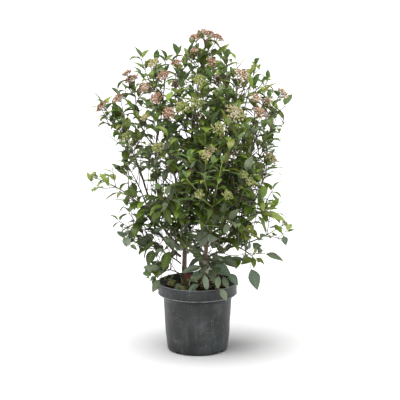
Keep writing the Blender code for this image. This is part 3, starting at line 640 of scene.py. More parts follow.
class Foliage:
    """Everything that the finer growth adds, and where all the leaves are."""

    def __init__(self):
        self.leaves, self.twigs, self.clusters, self.shown = [], [], [], []
        self.middles = np.zeros((0, 3))

    def clear(self, leaf):
        gaps = np.linalg.norm(self.middles - leaf.middle(), axis=1)
        return gaps.min(initial=1.0) > FINE_APART

    def keep(self, leaf, mass, spray):
        leaf.mass, leaf.spray = mass, spray
        self.leaves.append(leaf)
        self.middles = np.vstack([self.middles, leaf.middle()])

    def keep_twig(self, twig, mass):
        twig.mass = mass
        self.twigs.append(twig)

    def show(self, centre, radius):
        """Keeps the front of a cluster or a single leaf free of other leaves."""
        self.shown.append((*from_front(centre), centre[1], radius))

    def hides(self, leaf):
        """Whether a leaf stands in front of something that shows, or in it."""
        shown_x, shown_z, shown_y, radius = np.array(self.shown).T
        for point in (leaf.middle(), leaf.root + leaf.heading * leaf.length * 0.95):
            x, z = from_front(point)
            near = np.hypot(shown_x - x, (shown_z - z) * 1.15) < radius
            if np.any(near & (point[1] < shown_y + radius * 0.8)):
                return True
        return False


def from_front(point):
    """Where the front view's line through a point crosses y = 0, as (x, z)."""
    x, _, z = EYE + (point - EYE) * (-EYE[1] / (point[1] - EYE[1]))
    return x, z


def in_gap(point):
    """Whether a point lies in front of or behind a gap of the crown."""
    x, z = from_front(point)
    return bool(np.any(np.hypot(SKY_GAPS[:, 0] - x, SKY_GAPS[:, 1] - z) < SKY_GAPS[:, 2]))


def open_sky(point):
    """Whether a point lies in a gap of the crown or outside its outline."""
    x, z = from_front(point)
    left, right = np.interp(z, FRONT_HEIGHTS, FRONT_LEFT), np.interp(z, FRONT_HEIGHTS, FRONT_RIGHT)
    return in_gap(point) or not left < x < right


def share_kept(point):
    """The share of leaves kept at a point, by the thin places."""
    x, z = from_front(point)
    middle_x, middle_z, wide, high, share = THIN_PLACES.T
    return float(np.min(share[np.hypot((middle_x - x) / wide, (middle_z - z) / high) < 1], initial=1.0))


def in_core(point):
    """Whether a point is in the crown's lower middle, where leaves are dealt darker tones as painted shade.
    """
    x, z = from_front(point)
    inside = ((x - CORE[0]) / CORE[2]) ** 2 + ((z - CORE[1]) / CORE[3]) ** 2 < 1
    return bool(inside and point[1] < CORE_BACK)


def fullness(point):
    """How much of the crown is filled: dense in its core, opener at its sides, top and thin places."""
    side = abs(point[0] - 0.03) / 0.26
    full = float(np.clip(1.25 - 0.95 * side - 1.9 * max(0.0, point[2] - 0.60), 0.22, 1.0))
    return full * share_kept(point + UP * 0.03)


def in_crown(points):
    return bool(points[:, 2].max() <= CROWN_TOP and np.all(past_crown(points) < 0))


def add_infill(carriers, label, chance):
    """Slender leafy wands along the boughs and leaders, which fill the crown between its outer twigs."""
    for name, mass, limb, first, last in carriers:
        draw = draws(f"{label} {name}")
        turn = draw() * math.pi
        count = max(1, int(limb.length * (last - first) / INFILL_STEP))
        for step in range(count):
            share = first + (last - first) * (step + draw() * 0.6) / count
            root, axis, radius = limb.at(limb.length * share)
            for sign in (1, -1):
                side = side_round(axis, turn + step * math.pi / 2) * sign
                if draw() < chance(root + side * 0.06):
                    add_wand(mass, root + side * radius * 0.5, axis, side, draw)


def add_wand(mass, root, axis, side, draw):
    """One slender leafy shoot, shorter where it would leave the crown, if its leaves find room."""
    whole = INFILL_LENGTH[0] + INFILL_LENGTH[1] * draw()
    heading = unit(axis * (0.7 + 0.9 * draw()) + side)
    climb = UP * (0.25 + 0.5 * draw())
    turn = draw() * math.pi
    for scale in INFILL_TRIES:
        length = whole * scale
        tip = root + unit(heading + climb) * length
        shoot = curved((root, root + heading * length * 0.5, tip), INFILL_RADII, LIMB_STEPS, OLD_AGE)
        if in_crown(shoot.points[1:]) and not touches_pot(shoot.points[1:]) and not open_sky(tip):
            break
    else:
        return
    if limb_paths.distances(shoot.points[2:]).min() < INFILL_LIMB_GAP:
        return
    spray = WAND_SPRAYS + len(foliage.twigs)
    young = draw() < 0.14 and tip[2] > 0.42
    found = []
    for node in range(int(length * INFILL_LEAFY / INFILL_PAIRS)):
        place, way, _ = shoot.at(shoot.length - 0.002 - node * INFILL_PAIRS)
        out = side_round(way, turn + node * math.pi / 2)
        low = low_share(place[2])
        tender = young and node == 0
        for sign in (1, -1):
            size = (INFILL_LEAF[0] + INFILL_LEAF[1] * draw()) * (1 + 0.22 * low) * (0.8 if tender else 1.0)
            droop = UP * (0.12 - 0.40 * low * draw())
            leaf_way = unit(out * sign + way * (0.3 + 0.6 * draw()) + droop)
            face = way * 0.5 + UP + scatter(draw) * 0.6
            found.append(Leaf(place, leaf_way, face, size, "leaf_young" if tender else None))
    end, way, _ = shoot.at(shoot.length)
    found.append(Leaf(end, way, side_round(way, turn), INFILL_LEAF[0]))
    kept = [leaf for leaf in found if fits(leaf) and draw() < share_kept(leaf.middle()) + 0.2]
    if len(kept) >= min(4, len(found) - 1):
        foliage.keep_twig(shoot, mass)
        for leaf in kept:
            foliage.keep(leaf, mass, spray)


def fits(leaf):
    outline = leaf.outline()
    return not (
        foliage.hides(leaf)
        or open_sky(leaf.middle())
        or open_sky(outline[-1])
        or not foliage.clear(leaf)
        or not in_crown(outline)
        or touches_pot(outline)
        or limb_paths.distances(outline).min() <= INFILL_LIMB_GAP
    )


def nearest_mass(point):
    """The mass whose leader is nearest to a point."""
    return min(leaders, key=lambda name: Paths([leaders[name]]).distances(point[None])[0])


def cluster_up(leader):
    """A cluster faces up and out from the middle of the crown."""
    _, axis, _ = leader.at(leader.length)
    out = leader.points[-1] * (1.0, 1.0, 0.0)
    return unit(axis * 0.7 + UP * 0.65 + out * (0.85 / max(0.12, np.linalg.norm(out))))


def add_cluster_place(leader, radius, tint, mass):
    foliage.clusters.append((leader, radius, tint, mass))
    foliage.show(leader.points[-1] + cluster_up(leader) * radius * 0.4, radius * 1.1)


def add_placed():
    """The single leaves of the table, each on a thin twig from the nearest leader."""
    for index, (root, tip, ratio, tone) in enumerate(PLACED_LEAVES):
        root, tip = np.array(root), np.array(tip)
        mass = nearest_mass(root)
        length = np.linalg.norm(tip - root)
        leaf = Leaf(root, tip - root, PLACED_FACE, length, f"leaf_{tone}", ratio, PLACED_SCALE)
        foliage.keep(leaf, mass, PLACED_SPRAYS + index)
        foliage.show(leaf.middle(), PLACED_SHOW)
        leader = leaders[mass]
        places = [leader.at(leader.length * share)[0] for share in np.linspace(0.15, 1.0, 18)]
        far = [np.linalg.norm(place - root) + 0.5 * max(0.0, place[2] - root[2]) for place in places]
        start = places[int(np.argmin(far))]
        control = (start + root) / 2 + UP * (0.22 * np.linalg.norm(root - start))
        foliage.keep_twig(curved((start, control, root), PLACED_RADII, 4, YOUNG_AGE), mass)


def add_shoots():
    """The shoots of the table, each with pairs of leaves, and a bud cluster or an end leaf."""
    for index, (mass, share, tip, radius, tint) in enumerate(SHOOTS):
        mass, tone = f"mass_{mass}", None if radius else f"leaf_{tint}"
        draw = draws(f"shoot {index}")
        fresh = tip[1] < FRESH_FRONT
        age = YOUNG_AGE if fresh or tone == "leaf_young" else OLD_AGE
        shoot = branch(leaders[mass], share, tip, FRESH_RADII if fresh else TABLE_SHOOT_RADII, age)
        if fresh:
            for back in np.arange(FRESH_STEPS[0], min(FRESH_STEPS[1], shoot.length), FRESH_STEPS[2]):
                foliage.show(shoot.at(shoot.length - back)[0], FRESH_SHOW)
        foliage.keep_twig(shoot, mass)
        turn = draw() * (math.pi if radius else 0.8)
        for node in range(1 if radius else 0, max(2, int(shoot.length / TABLE_SHOOT_NODES)) + 1):
            root, way, _ = shoot.at(shoot.length - 0.004 - node * TABLE_SHOOT_NODES * (0.9 + 0.2 * draw()))
            side = side_round(way, turn + node * math.pi / 2)
            for sign in (1, -1):
                length = LEAF_LENGTH * (0.66 + 0.26 * draw())
                heading = unit(side * sign + way * 0.5 * (0.5 + draw()) + UP * 0.05)
                face = way + np.array([0.0, -0.2, 0.6]) + side * (draw() - 0.5) * 0.8
                leaf = Leaf(root, heading, face, length, tone if node < 2 else None)
                if foliage.clear(leaf) and limb_paths.distances(leaf.outline()).min() > LIMB_MARGIN:
                    foliage.keep(leaf, mass, TABLE_SPRAYS + index)
        if radius:
            add_cluster_place(shoot, radius, tint, mass)
            continue
        end, way, _ = shoot.at(shoot.length)
        leaf = Leaf(end, way + UP * 0.4, side_round(way, turn), LEAF_LENGTH * 0.8, tone)
        foliage.keep(leaf, mass, TABLE_SPRAYS + index)


def add_finer(name, growth):
    """More pairs of leaves on each twig, a pair under each fork, and small shoots on the longer twigs."""
    draw = draws(f"finer {name}")

    def leaf_at(root, way, side, length, spray, lift, fall):
        heading = unit(side + way * lift + UP * fall)
        leaf = Leaf(root - heading * LEAF_SINK, heading, way + UP * 0.8 + scatter(draw) * 0.7, length)
        if draw() > share_kept(leaf.middle()) or in_gap(leaf.middle()):
            return
        if foliage.clear(leaf) and not foliage.hides(leaf) and growth.room.holds(leaf.outline(), FINE_MARGIN):
            foliage.keep(leaf, name, spray)

    def pair_at(root, way, side, spray, scale=1.0):
        low = low_share(root[2])
        for sign in (1, -1):
            length = LEAF_LENGTH * FINE_LEAF * scale * (1 + LEAF_LOW_GAIN * low) * (0.82 + 0.36 * draw())
            lift = (LEAF_LIFT - LEAF_LIFT_CUT * low) * (0.5 + 0.9 * draw())
            leaf_at(root, way, side * sign, length, spray, lift, 0.08 - 0.40 * low * draw())

    for node, root, axis, side in growth.nodes:
        if node >= 2 and node % 2 == 0:
            pair_at(root - axis * 0.002, axis, side, 0)
    for spray, twig in enumerate(growth.twigs, 1):
        for node, share in enumerate(FINE_SHARES, 1):
            root, way, _ = twig.at(twig.length * share)
            pair_at(root, way, side_round(way, twig.turn + node * math.pi / 2), spray)
        if twig.length < SHOOT_LEAST_TWIG:
            continue
        root, way, _ = twig.at(twig.length * 0.5)
        side = side_round(way, twig.turn + 0.3)
        for sign in (1, -1):
            length = SHOOT_LENGTH * (0.7 + 0.7 * draw())
            heading = unit(way * LEAVE_AXIS + side * sign * LEAVE_SIDE)
            tip = root + unit(heading + UP * RISE) * length
            shoot = curved((root, root + heading * length * 0.5, tip), SHOOT_RADII, TWIG_STEPS, 0.25)
            if not growth.room.holds(shoot.points[1:], FINE_MARGIN):
                continue
            foliage.keep_twig(shoot, name)
            turn = draw() * math.pi
            for node, share in enumerate((0.55, 0.95)):
                place, out, _ = shoot.at(shoot.length * share)
                pair_at(place, out, side_round(out, turn + node * math.pi / 2), spray, 0.82)
            end, out, _ = shoot.at(shoot.length)
            leaf_at(end, out, side_round(out, turn) * 0.3, LEAF_LENGTH * 0.62, spray, 1.0, 0.0)


def grow_foliage():
    add_placed()
    for place in BARE_PLACES:
        foliage.show(np.array(place), BARE_SHOW)
    for name, (_limb, _share, tip, radius) in MASSES.items():
        if radius and name not in BARE_TIPS:
            tint = CLUSTER_TINTS.get(name, "rose" if tip[2] > 0.66 else "cream")
            add_cluster_place(leaders[name], radius, tint, name)
    add_shoots()
    thinning = draws("thinning")
    for name, growth in growths.items():
        for leaf in growth.leaves:
            if leaf.crowning and MASSES[name][3]:
                continue
            if not (foliage.hides(leaf) or in_gap(leaf.middle()) or thinning() > share_kept(leaf.middle())):
                foliage.keep(leaf, name, leaf.spray)
    for name, growth in growths.items():
        add_finer(name, growth)
    carriers = []
    for name, limb in limbs.items():
        mass = nearest_mass(limb.at(limb.length * 0.8)[0])
        carriers.append((name, mass, limb, 0.25 if name in BOUGHS else 0.72, 0.98))
    carriers += [(name, name, leader, 0.05, 0.95) for name, leader in leaders.items()]
    add_infill(carriers, "infill", fullness)
    for label in ("core", "core again"):
        add_infill(carriers, label, in_core)


limbs = {name: grow_stem(*sizes) for name, sizes in STEMS.items()}
for name, (parent, share, tip, *radii) in BOUGHS.items():
    limbs[name] = branch(limbs[parent], share, tip, radii)
leaders = {
    name: branch(limbs[limb], share, tip, LEADER_RADII) for name, (limb, share, tip, _) in MASSES.items()
}
limb_paths = Paths(list(limbs.values()))
growths = {name: Growth(name) for name in leaders}
foliage = Foliage()
grow_foliage()


# ---------------------------------------------------------------- materials
def colour(code):
    """A linear colour from its usual hex code, or a colour as it is."""
    if not isinstance(code, str):
        return code
    values = [int(code[index : index + 2], 16) / 255 for index in (0, 2, 4)]
    return tuple(value / 12.92 if value <= 0.04045 else ((value + 0.055) / 1.055) ** 2.4 for value in values)


BLACK = (0.0, 0.0, 0.0)
WHITE = (1.0, 1.0, 1.0)
materials = {}


class Nodes:
    """A material's node tree, built a node at a time."""

    def __init__(self, name, base, roughness, specular):
        materials[name] = bpy.data.materials.new(name)
        materials[name].use_nodes = True
        self.tree = materials[name].node_tree
        self.shader = self.tree.nodes["Principled BSDF"]
        self.shader.inputs["Base Color"].default_value = (*colour(base), 1.0)
        self.shader.inputs["Roughness"].default_value = roughness
        self.shader.inputs["Specular IOR Level"].default_value = specular

    def feed(self, socket, value):
        """Links a socket to another, or sets its constant value."""
        if isinstance(value, bpy.types.NodeSocket):
            self.tree.links.new(value, socket)
        else:
            opaque = isinstance(value, tuple) and len(socket.default_value) == 4
            socket.default_value = (*value, 1.0) if opaque else value

    def node(self, kind, source=None, **values):
        """A node, with its settings and input values, and with its first input taken from a source."""
        node = self.tree.nodes.new(f"ShaderNode{kind}")
        for key, value in values.items():
            if key in node.inputs:
                node.inputs[key].default_value = value
            else:
                setattr(node, key, value)
        if source:
            self.tree.links.new(source, node.inputs[0])
        return node

    def place(self):
        return self.node("TexCoord").outputs["Object"]

    def mapped(self, place, **values):
        return self.node("Mapping", place, **values).outputs["Vector"]

    def noise(self, scale, detail=3.0, roughness=0.55, place=None):
        values = {"Scale": scale, "Detail": detail, "Roughness": roughness}
        return self.node("TexNoise", place or self.place(), **values).outputs["Fac"]

    def ramp(self, source, *stops):
        """A colour ramp with (place, colour) stops."""
        ramp = self.node("ValToRGB", source)
        elements = ramp.color_ramp.elements
        while len(elements) < len(stops):
            elements.new(0.5)
        for element, (place, code) in zip(elements, stops):
            element.position = place
            element.color = (*colour(code), 1.0)
        return ramp.outputs["Color"]

    def rise(self, source, low, high):
        return self.ramp(source, (low, BLACK), (high, WHITE))

    def fall(self, source, low, high):
        return self.ramp(source, (low, WHITE), (high, BLACK))

    def mix(self, amount, share, first, second):
        """Mixes a second colour in, by a share of an amount."""
        mix = self.node("Mix", data_type="RGBA")
        self.feed(mix.inputs["Factor"], self.math("MULTIPLY", share, amount))
        self.feed(mix.inputs[6], first)
        self.feed(mix.inputs[7], colour(second))
        return mix.outputs[2]

    def math(self, operation, *values):
        node = self.node("Math", operation=operation)
        for value, socket in zip(values, node.inputs):
            self.feed(socket, value)
        return node.outputs[0]

    def off(self, source, value):
        """How far a value is from another."""
        return self.math("ABSOLUTE", self.math("SUBTRACT", source, value))

    def band(self, height, middle, width):
        """1 in the middle of a band of heights, falling to 0 at a width from it."""
        line = self.math("SUBTRACT", 1.0, self.math("DIVIDE", self.off(height, middle), width))
        return self.math("MAXIMUM", line, 0.0)

    def span(self, source, low, high):
        """A 0 to 1 value taken to a range."""
        return self.node("MapRange", source, **{"To Min": low, "To Max": high}).outputs[0]

    def bump(self, height, distance):
        bump = self.node("Bump", Distance=distance, Strength=1.0)
        self.feed(bump.inputs["Height"], height)
        self.set("Normal", bump.outputs["Normal"])

    def set(self, name, source):
        self.feed(self.shader.inputs[name], source)


def leaf_material(name, code, roughness, veins=0.00022, specular=0.5):
    """A leaf's face: plain colour, with side veins and a fine grain in its relief and gloss."""
    nodes = Nodes(name, code, roughness, specular)
    place_map = nodes.node("UVMap", uv_map="place").outputs["UV"]
    across_leaf, along_leaf, _ = nodes.node("SeparateXYZ", place_map).outputs
    out = nodes.off(across_leaf, 0.5)
    vein = nodes.math("SINE", nodes.math("MULTIPLY", nodes.math("SUBTRACT", along_leaf, out), 44.0))
    vein = nodes.math("POWER", nodes.math("ABSOLUTE", vein), 0.35)
    nodes.bump(nodes.math("MULTIPLY_ADD", nodes.noise(420.0, 2.0), 0.35, vein), veins)
    nodes.set("Roughness", nodes.span(nodes.noise(38.0, 2.0), roughness - 0.07, roughness + 0.13))


def bark_material(name, codes, scale, relief, roughness=0.8):
    """Bark in three tones, with fine furrows along it and small lenticels."""
    nodes = Nodes(name, codes[0], roughness, 0.25)
    place = nodes.place()
    furrows = nodes.noise(scale, 5.0, 0.62, nodes.mapped(place, Scale=(1.0, 1.0, 0.22)))
    base = nodes.ramp(furrows, *zip((0.36, 0.50, 0.64), codes))
    spot = nodes.fall(nodes.node("TexVoronoi", place, Scale=scale * 1.6).outputs["Distance"], 0.10, 0.17)
    light = tuple(min(1.0, value * 1.9 + 0.03) for value in colour(codes[0]))
    nodes.set("Base Color", nodes.mix(0.55, spot, base, light))
    nodes.set("Roughness", nodes.span(furrows, roughness - 0.15, roughness + 0.12))
    nodes.bump(nodes.math("MULTIPLY_ADD", spot, 0.3, furrows), relief)


def bud_material(name, code):
    """A bud: plain colour with a faint sheen of fine down and a grain of relief."""
    nodes = Nodes(name, code, 0.62, 0.3)
    nodes.shader.inputs["Sheen Weight"].default_value = 0.15
    nodes.bump(nodes.noise(900.0, 2.0), 0.0002)


def pot_material(name):
    """Moulded black plastic: dull, dusty in its hollows, scratched, pale along its edges with wear and
    painted highlight, and with painted shade under the rim band's lip.
    """
    nodes = Nodes(name, "343738", 0.5, 0.42)
    place = nodes.place()
    height = nodes.node("SeparateXYZ", place).outputs[2]
    clouds = nodes.noise(16.0, 6.0, 0.62, place)
    base = nodes.ramp(clouds, (0.34, "171819"), (0.50, "2b2c2d"), (0.68, "4a4b4c"))
    teal = nodes.rise(nodes.noise(9.0, 3.0, 0.5, place), 0.56, 0.74)
    base = nodes.mix(0.45, teal, base, "2b4044")
    runs = nodes.noise(70.0, 4.0, 0.6, nodes.mapped(place, Scale=(1.0, 1.0, 0.07)))
    base = nodes.mix(0.32, nodes.rise(runs, 0.58, 0.78), base, "737a7b")
    specks = nodes.node("TexVoronoi", place, Scale=165.0)
    speck = nodes.fall(specks.outputs["Distance"], 0.10, 0.20)
    some = nodes.rise(specks.outputs["Color"], 0.60, 0.66)
    patches = nodes.rise(nodes.noise(24.0, 2.0, 0.5, place), 0.40, 0.60)
    dust = nodes.math("MULTIPLY", nodes.math("MULTIPLY", speck, some), patches)
    base = nodes.mix(0.7, dust, base, "a9b0ae")
    slant = nodes.mapped(place, Rotation=(0.5, 0.9, 0.4), Scale=(1.0, 0.05, 1.0))
    scratches = nodes.rise(nodes.noise(210.0, 2.0, 0.5, slant), 0.71, 0.75)
    base = nodes.mix(0.5, scratches, base, "8c9495")
    # Pale lines along the rim's top edge and the band's lower lip, in patches: partly wear, partly painted
    # highlight.
    wear_and_highlight = 0
    for edge, width in ((POT_HEIGHT - RIM_BAND + 0.0016, 0.0013), (POT_HEIGHT - 0.0006, 0.0012)):
        wear_and_highlight = nodes.math("MAXIMUM", wear_and_highlight, nodes.band(height, edge, width))
    patchy = nodes.span(nodes.noise(48.0, 3.0, 0.6, place), -0.4, 1.7)
    base = nodes.mix(0.9, nodes.math("MULTIPLY", wear_and_highlight, patchy), base, "bcc2c2")
    # Painted shade: a dark band just under the rim band's lower lip.
    base = nodes.mix(0.8, nodes.band(height, POT_HEIGHT - RIM_BAND - 0.0042, 0.0042), base, "0d0e0e")
    nodes.set("Base Color", base)
    nodes.set("Roughness", nodes.span(clouds, 0.32, 0.58))
    grain = nodes.noise(700.0, 2.0, 0.5, place)
    relief = nodes.math("MULTIPLY_ADD", grain, 0.4, nodes.math("MULTIPLY", dust, 0.8))
    nodes.bump(nodes.math("SUBTRACT", relief, scratches), 0.0003)


def soil_material(name, dark, middle, light, scale=240.0):
    nodes = Nodes(name, middle, 0.92, 0.2)
    clumps = nodes.noise(scale, 8.0, 0.7)
    nodes.set("Base Color", nodes.ramp(clumps, (0.34, dark), (0.50, middle), (0.68, light)))
    nodes.bump(nodes.noise(scale * 3.5, 6.0, 0.7), 0.0022)


def floor_material(name):
    pale, paler = (0.70, 0.70, 0.70), (0.71, 0.71, 0.71)
    nodes = Nodes(name, pale, 0.9, 0.1)
    nodes.set("Base Color", nodes.ramp(nodes.noise(1.2, 2.0), (0.3, pale), (0.7, paler)))


LEAF_TOPS = {
    "leaf_deep": "333f17", "leaf_dark": "4b5b1e", "leaf_mid": "627224", "leaf_bright": "718a2e",
    "leaf_olive": "73782f", "leaf_young": "8f9d4d", "leaf_blue": "5b6d58", "leaf_grey": "7b886c",
    "leaf_dusk": "5d6749", "leaf_pale": "829179",
}
GREY_TONES = ("leaf_blue", "leaf_grey", "leaf_dusk", "leaf_pale")
LEAF_EXTRAS = {"under_green": "6d8652", "under_grey": "75846b", "rib_green": "748c4c", "rib_grey": "7b8c74"}
STALKS = {"stalk_red": "74493a", "stalk_green": "7d8a4a"}
BUD_COLOURS = {
    "bud_rose": "a27e66", "bud_blush": "c5ac92", "bud_petal": "dccdb8", "bud_brick": "8a6650",
    "bud_cream": "b1a776", "bud_lime": "8e9650", "bud_leaf": "6f7d3f",
}
BUD_TINTS = {
    "rose": ("rose", "blush", "brick"), "blush": ("blush", "petal", "rose"),
    "cream": ("cream", "blush", "lime"), "green": ("lime", "cream", "leaf"),
}
FALLEN_COLOURS = (
    ("fallen_red", "94473f", 0.6), ("fallen_straw", "ddcf9a", 0.7),
    ("fallen_brown", "97795a", 0.7), ("weed_green", "93a05c", 0.45),
)
# The tones that sprays are dealt out of, by where they stand in the crown.
TONES = {
    # The core tones, mostly darker, are painted shade of the crown's inside.
    "core": ("deep", "dark", "deep", "dusk", "dark", "bright"),
    "side": ("bright", "young", "olive", "mid", "bright", "grey"),
    "left": ("dark", "deep", "mid", "dark", "deep", "bright"),
    "top": ("dark", "mid", "dark", "olive", "mid", "bright"),
    "high": ("mid", "bright", "dark", "bright", "olive", "dark", "mid"),
    "middle": ("dark", "mid", "bright", "deep", "dusk", "mid"),
    "low": ("dusk", "grey", "pale", "grey", "pale", "mid"),
}
LEAF_PIECES = {
    "leaves_top": ("bough_centre", "bough_left_high", "bough_right_high"),
    "leaves_sides": ("bough_left_shoulder", "bough_right_shoulder", "bough_left_belt", "bough_right_belt"),
    "leaves_front": ("bough_front_left", "bough_front_right", "bough_right_low", "stem_main", "stem_right"),
    "leaves_back": ("bough_back_high", "bough_back_left", "bough_back_right", "stem_back"),
}
LEAF_KEYS = (
    "top", "rib", "under", "stalk", "root", "heading", "face",
    "length", "width", "droop", "fold", "curl", "phase",
)


def make_materials():
    for name, code in LEAF_TOPS.items():
        dull = name in GREY_TONES
        leaf_material(name, code, 0.42 if dull else 0.27, specular=0.45 if dull else 0.30)
    for name, code in LEAF_EXTRAS.items():
        leaf_material(name, code, 0.6, 0.0003, 0.3)
    for name, code in STALKS.items():
        leaf_material(name, code, 0.5, 0.0001, 0.4)
    for name, code in BUD_COLOURS.items():
        bud_material(name, code)
    bark_material("twig_old", ("574c49", "736863", "443b39"), 260.0, 0.0003)
    bark_material("twig_red", ("564743", "6c5b57", "40332f"), 260.0, 0.0002, 0.6)
    bark_material("twig_young", ("7f9146", "96a556", "6b7a3a"), 300.0, 0.0001, 0.5)
    bark_material("bark", ("6a5748", "8c7a69", "4b3b31"), 130.0, 0.0009)
    bark_material("bough_bark", ("5a4c42", "75675c", "443930"), 170.0, 0.0006)
    pot_material("pot_plastic")
    soil_material("compost", "241811", "3f2d21", "5e4735", 90.0)
    soil_material("crumb_dark", "1a120d", "2c2018", "43332a")
    soil_material("crumb_brown", "4a3222", "6c4c35", "8b694c")
    soil_material("crumb_pale", "6f5b45", "938064", "b3a185")
    for name, code, roughness in FALLEN_COLOURS:
        leaf_material(name, code, roughness)
    floor_material("floor_pale")


make_materials()

# ---------------------------------------------------------------- joined meshes
class Joined:
    """Points, faces and material slots gathered for one joined mesh, in arrays."""

    def __init__(self, name, *names):
        self.name = name
        self.materials = [materials[key] for key in names]
        self.slots = {key: index for index, key in enumerate(names)}
        self.points, self.maps, self.faces, self.face_slots = [], [], [], []
        self.count = 0

    def add(self, points, *groups, maps=None):
        """Adds points (n, 3) and groups of faces (m, 3 or 4) with their slots (m, or one for all)."""
        self.points.append(points)
        self.maps.append(np.zeros((len(points), 2)) if maps is None else maps)
        for faces, slots in groups:
            self.faces.append(faces + self.count)
            self.face_slots.append(np.broadcast_to(slots, len(faces)))
        self.count += len(points)

    def build(self):
        mesh = bpy.data.meshes.new(self.name)
        points = np.concatenate(self.points)
        corners = np.concatenate([faces.ravel() for faces in self.faces])
        sizes = np.concatenate([np.full(len(faces), faces.shape[1]) for faces in self.faces])
        starts = np.concatenate([[0], np.cumsum(sizes)[:-1]])
        mesh.vertices.add(len(points))
        mesh.vertices.foreach_set("co", points.astype(np.float32).ravel())
        mesh.loops.add(len(corners))
        mesh.loops.foreach_set("vertex_index", corners.astype(np.int32))
        mesh.polygons.add(len(sizes))
        mesh.polygons.foreach_set("loop_start", starts.astype(np.int32))
        mesh.polygons.foreach_set("material_index", np.concatenate(self.face_slots).astype(np.int32))
        layer = mesh.uv_layers.new(name="place")
        layer.data.foreach_set("uv", np.concatenate(self.maps)[corners].astype(np.float32).ravel())
        for material in self.materials:
            mesh.materials.append(material)
        mesh.update(calc_edges=True)
        mesh.validate()
        mesh.shade_smooth()
        return link(bpy.data.objects.new(self.name, mesh))

    def finish(self, nodes=()):
        finish_piece(self.build(), nodes)


def link(obj):
    bpy.context.scene.collection.objects.link(obj)
    return obj


def finish_piece(obj, nodes=()):
    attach(obj, "root")
    if nodes:
        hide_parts(*nodes)


def round_angles(sides):
    return np.arange(sides) * 2 * math.pi / sides


def rings(path, radii, sides):
    """Points (rings x sides) round a path, turned as little as may be from ring to ring."""
    ways = np.gradient(path, axis=0)
    ways /= np.linalg.norm(ways, axis=1)[:, None]
    side, angles, loops = across(LEVEL, ways[0]), round_angles(sides)[:, None], []
    for place, way, radius in zip(path, ways, radii):
        side = across(side, way)
        ring = np.cos(angles) * side + np.sin(angles) * np.cross(way, side)
        loops.append(place + ring * np.reshape(radius, (-1, 1)))
    return np.array(loops)


def tube_faces(count, sides):
    """Quads between rings, and quads that close both ends of a tube with an even number of sides."""
    ring, step = np.meshgrid(np.arange(count - 1), np.arange(sides), indexing="ij")
    after = (step + 1) % sides
    low, high = ring * sides, (ring + 1) * sides
    walls = np.stack([low + step, low + after, high + after, high + step], axis=-1).reshape(-1, 4)
    fans = np.array([(0, index, index + 1, index + 2) for index in range(1, sides - 2, 2)])
    return walls, np.vstack([fans[:, ::-1], fans + (count - 1) * sides])


def net_maps(rows, columns):
    """A map for a net of points, with its columns across and its rows along."""
    return np.stack(np.meshgrid(rows, columns, indexing="ij")[::-1], axis=-1).reshape(-1, 2)


def add_loops(joined, loops, reach, slots=0):
    """A closed tube through rings of points, with a slot for each length between two of them."""
    count, sides = loops.shape[:2]
    walls, ends = tube_faces(count, sides)
    slots = np.broadcast_to(slots, count - 1)
    groups = (walls, np.repeat(slots, sides)), (ends, np.repeat(slots[[0, -1]], len(ends) // 2))
    joined.add(loops.reshape(-1, 3), *groups, maps=net_maps(reach, np.arange(sides) / sides))


def add_tube(joined, path, radii, sides, slots):
    add_loops(joined, rings(path, radii, sides), reach_along(path), slots)


def spread(joined, points, faces, slots, maps=None):
    """Adds many copies of one net of faces: points (copies x n x 3), slots (copies x faces)."""
    count, size = points.shape[:2]
    every = (faces[None] + (np.arange(count) * size)[:, None, None]).reshape(-1, faces.shape[1])
    maps = None if maps is None else np.tile(maps, (count, 1))
    joined.add(points.reshape(-1, 3), (every, slots.ravel()), maps=maps)


# ---------------------------------------------------------------- leaves
STATIONS = np.array([0.0, 0.07, 0.19, 0.34, 0.50, 0.66, 0.81, 0.93, 1.0])
PROFILE = np.array([0.03, 0.36, 0.78, 1.0, 0.97, 0.78, 0.48, 0.20, 0.012])
CROSSINGS = np.array([-1.0, -0.52, -0.042, 0.042, 0.52, 1.0])
FINE_STATIONS = np.linspace(0.0, 1.0, 37)
FINE_CROSSINGS = np.array([-1.0, -0.72, -0.46, -0.22, -0.042, 0.042, 0.22, 0.46, 0.72, 1.0])
UNDER_CROSSINGS = np.array([-1.0, 0.0, 1.0])
VEIN_PAIRS = 7
VEIN_WIDTH = 0.26
VEIN_SLANT = 0.20
LEAF_FILM = 0.00045
PETIOLE = 0.13
# A leaf stalk's rings: share of the leaf's length, radius, and drop below its face.
STALK_RINGS = ((0.0, 0.0010, 0.0), (PETIOLE * 0.6, 0.0007, 0.0), (PETIOLE + 0.16, 0.00045, 0.0007))


def leaf_grid(leaves, stations, crossings, sink):
    """Points (leaves x stations x crossings) of one face of each leaf."""
    root, heading, face, length, width, droop, fold, curl, phase = (leaves[key] for key in LEAF_KEYS[4:])
    bend_by = droop[:, None] * stations
    blade = (length * (1 - PETIOLE))[:, None]
    along = blade * np.sin(bend_by) / droop[:, None]
    down = blade * (1 - np.cos(bend_by)) / droop[:, None]
    start = root + heading * (length * PETIOLE)[:, None]
    side = np.cross(face, heading)[:, None]
    heading, face = heading[:, None], face[:, None]
    centre = start[:, None] + heading * along[..., None] - face * down[..., None]
    normal = face * np.cos(bend_by)[..., None] + heading * np.sin(bend_by)[..., None]
    half = (0.5 * width[:, None] * np.interp(stations, STATIONS, PROFILE))[..., None]
    out = crossings[None, None] * half
    lift = np.abs(out) * np.sin(fold)[:, None, None]
    lift -= curl[:, None, None] * crossings**2 * half
    wave = np.sin(2 * math.pi * (1.4 * stations[None] + phase[:, None]))[..., None]
    lift += 0.07 * wave * crossings**2 * np.sign(crossings) * half
    thin = sink * (1 - crossings**2)
    out = out * np.cos(fold)[:, None, None]
    above = normal[:, :, None] * (lift - thin)[..., None]
    return centre[:, :, None] + side[:, :, None] * out[..., None] + above


def grid_faces(rows, columns):
    row, column = np.meshgrid(np.arange(rows - 1), np.arange(columns - 1), indexing="ij")
    first = row * columns + column
    return np.stack([first, first + 1, first + columns + 1, first + columns], axis=-1).reshape(-1, 4)


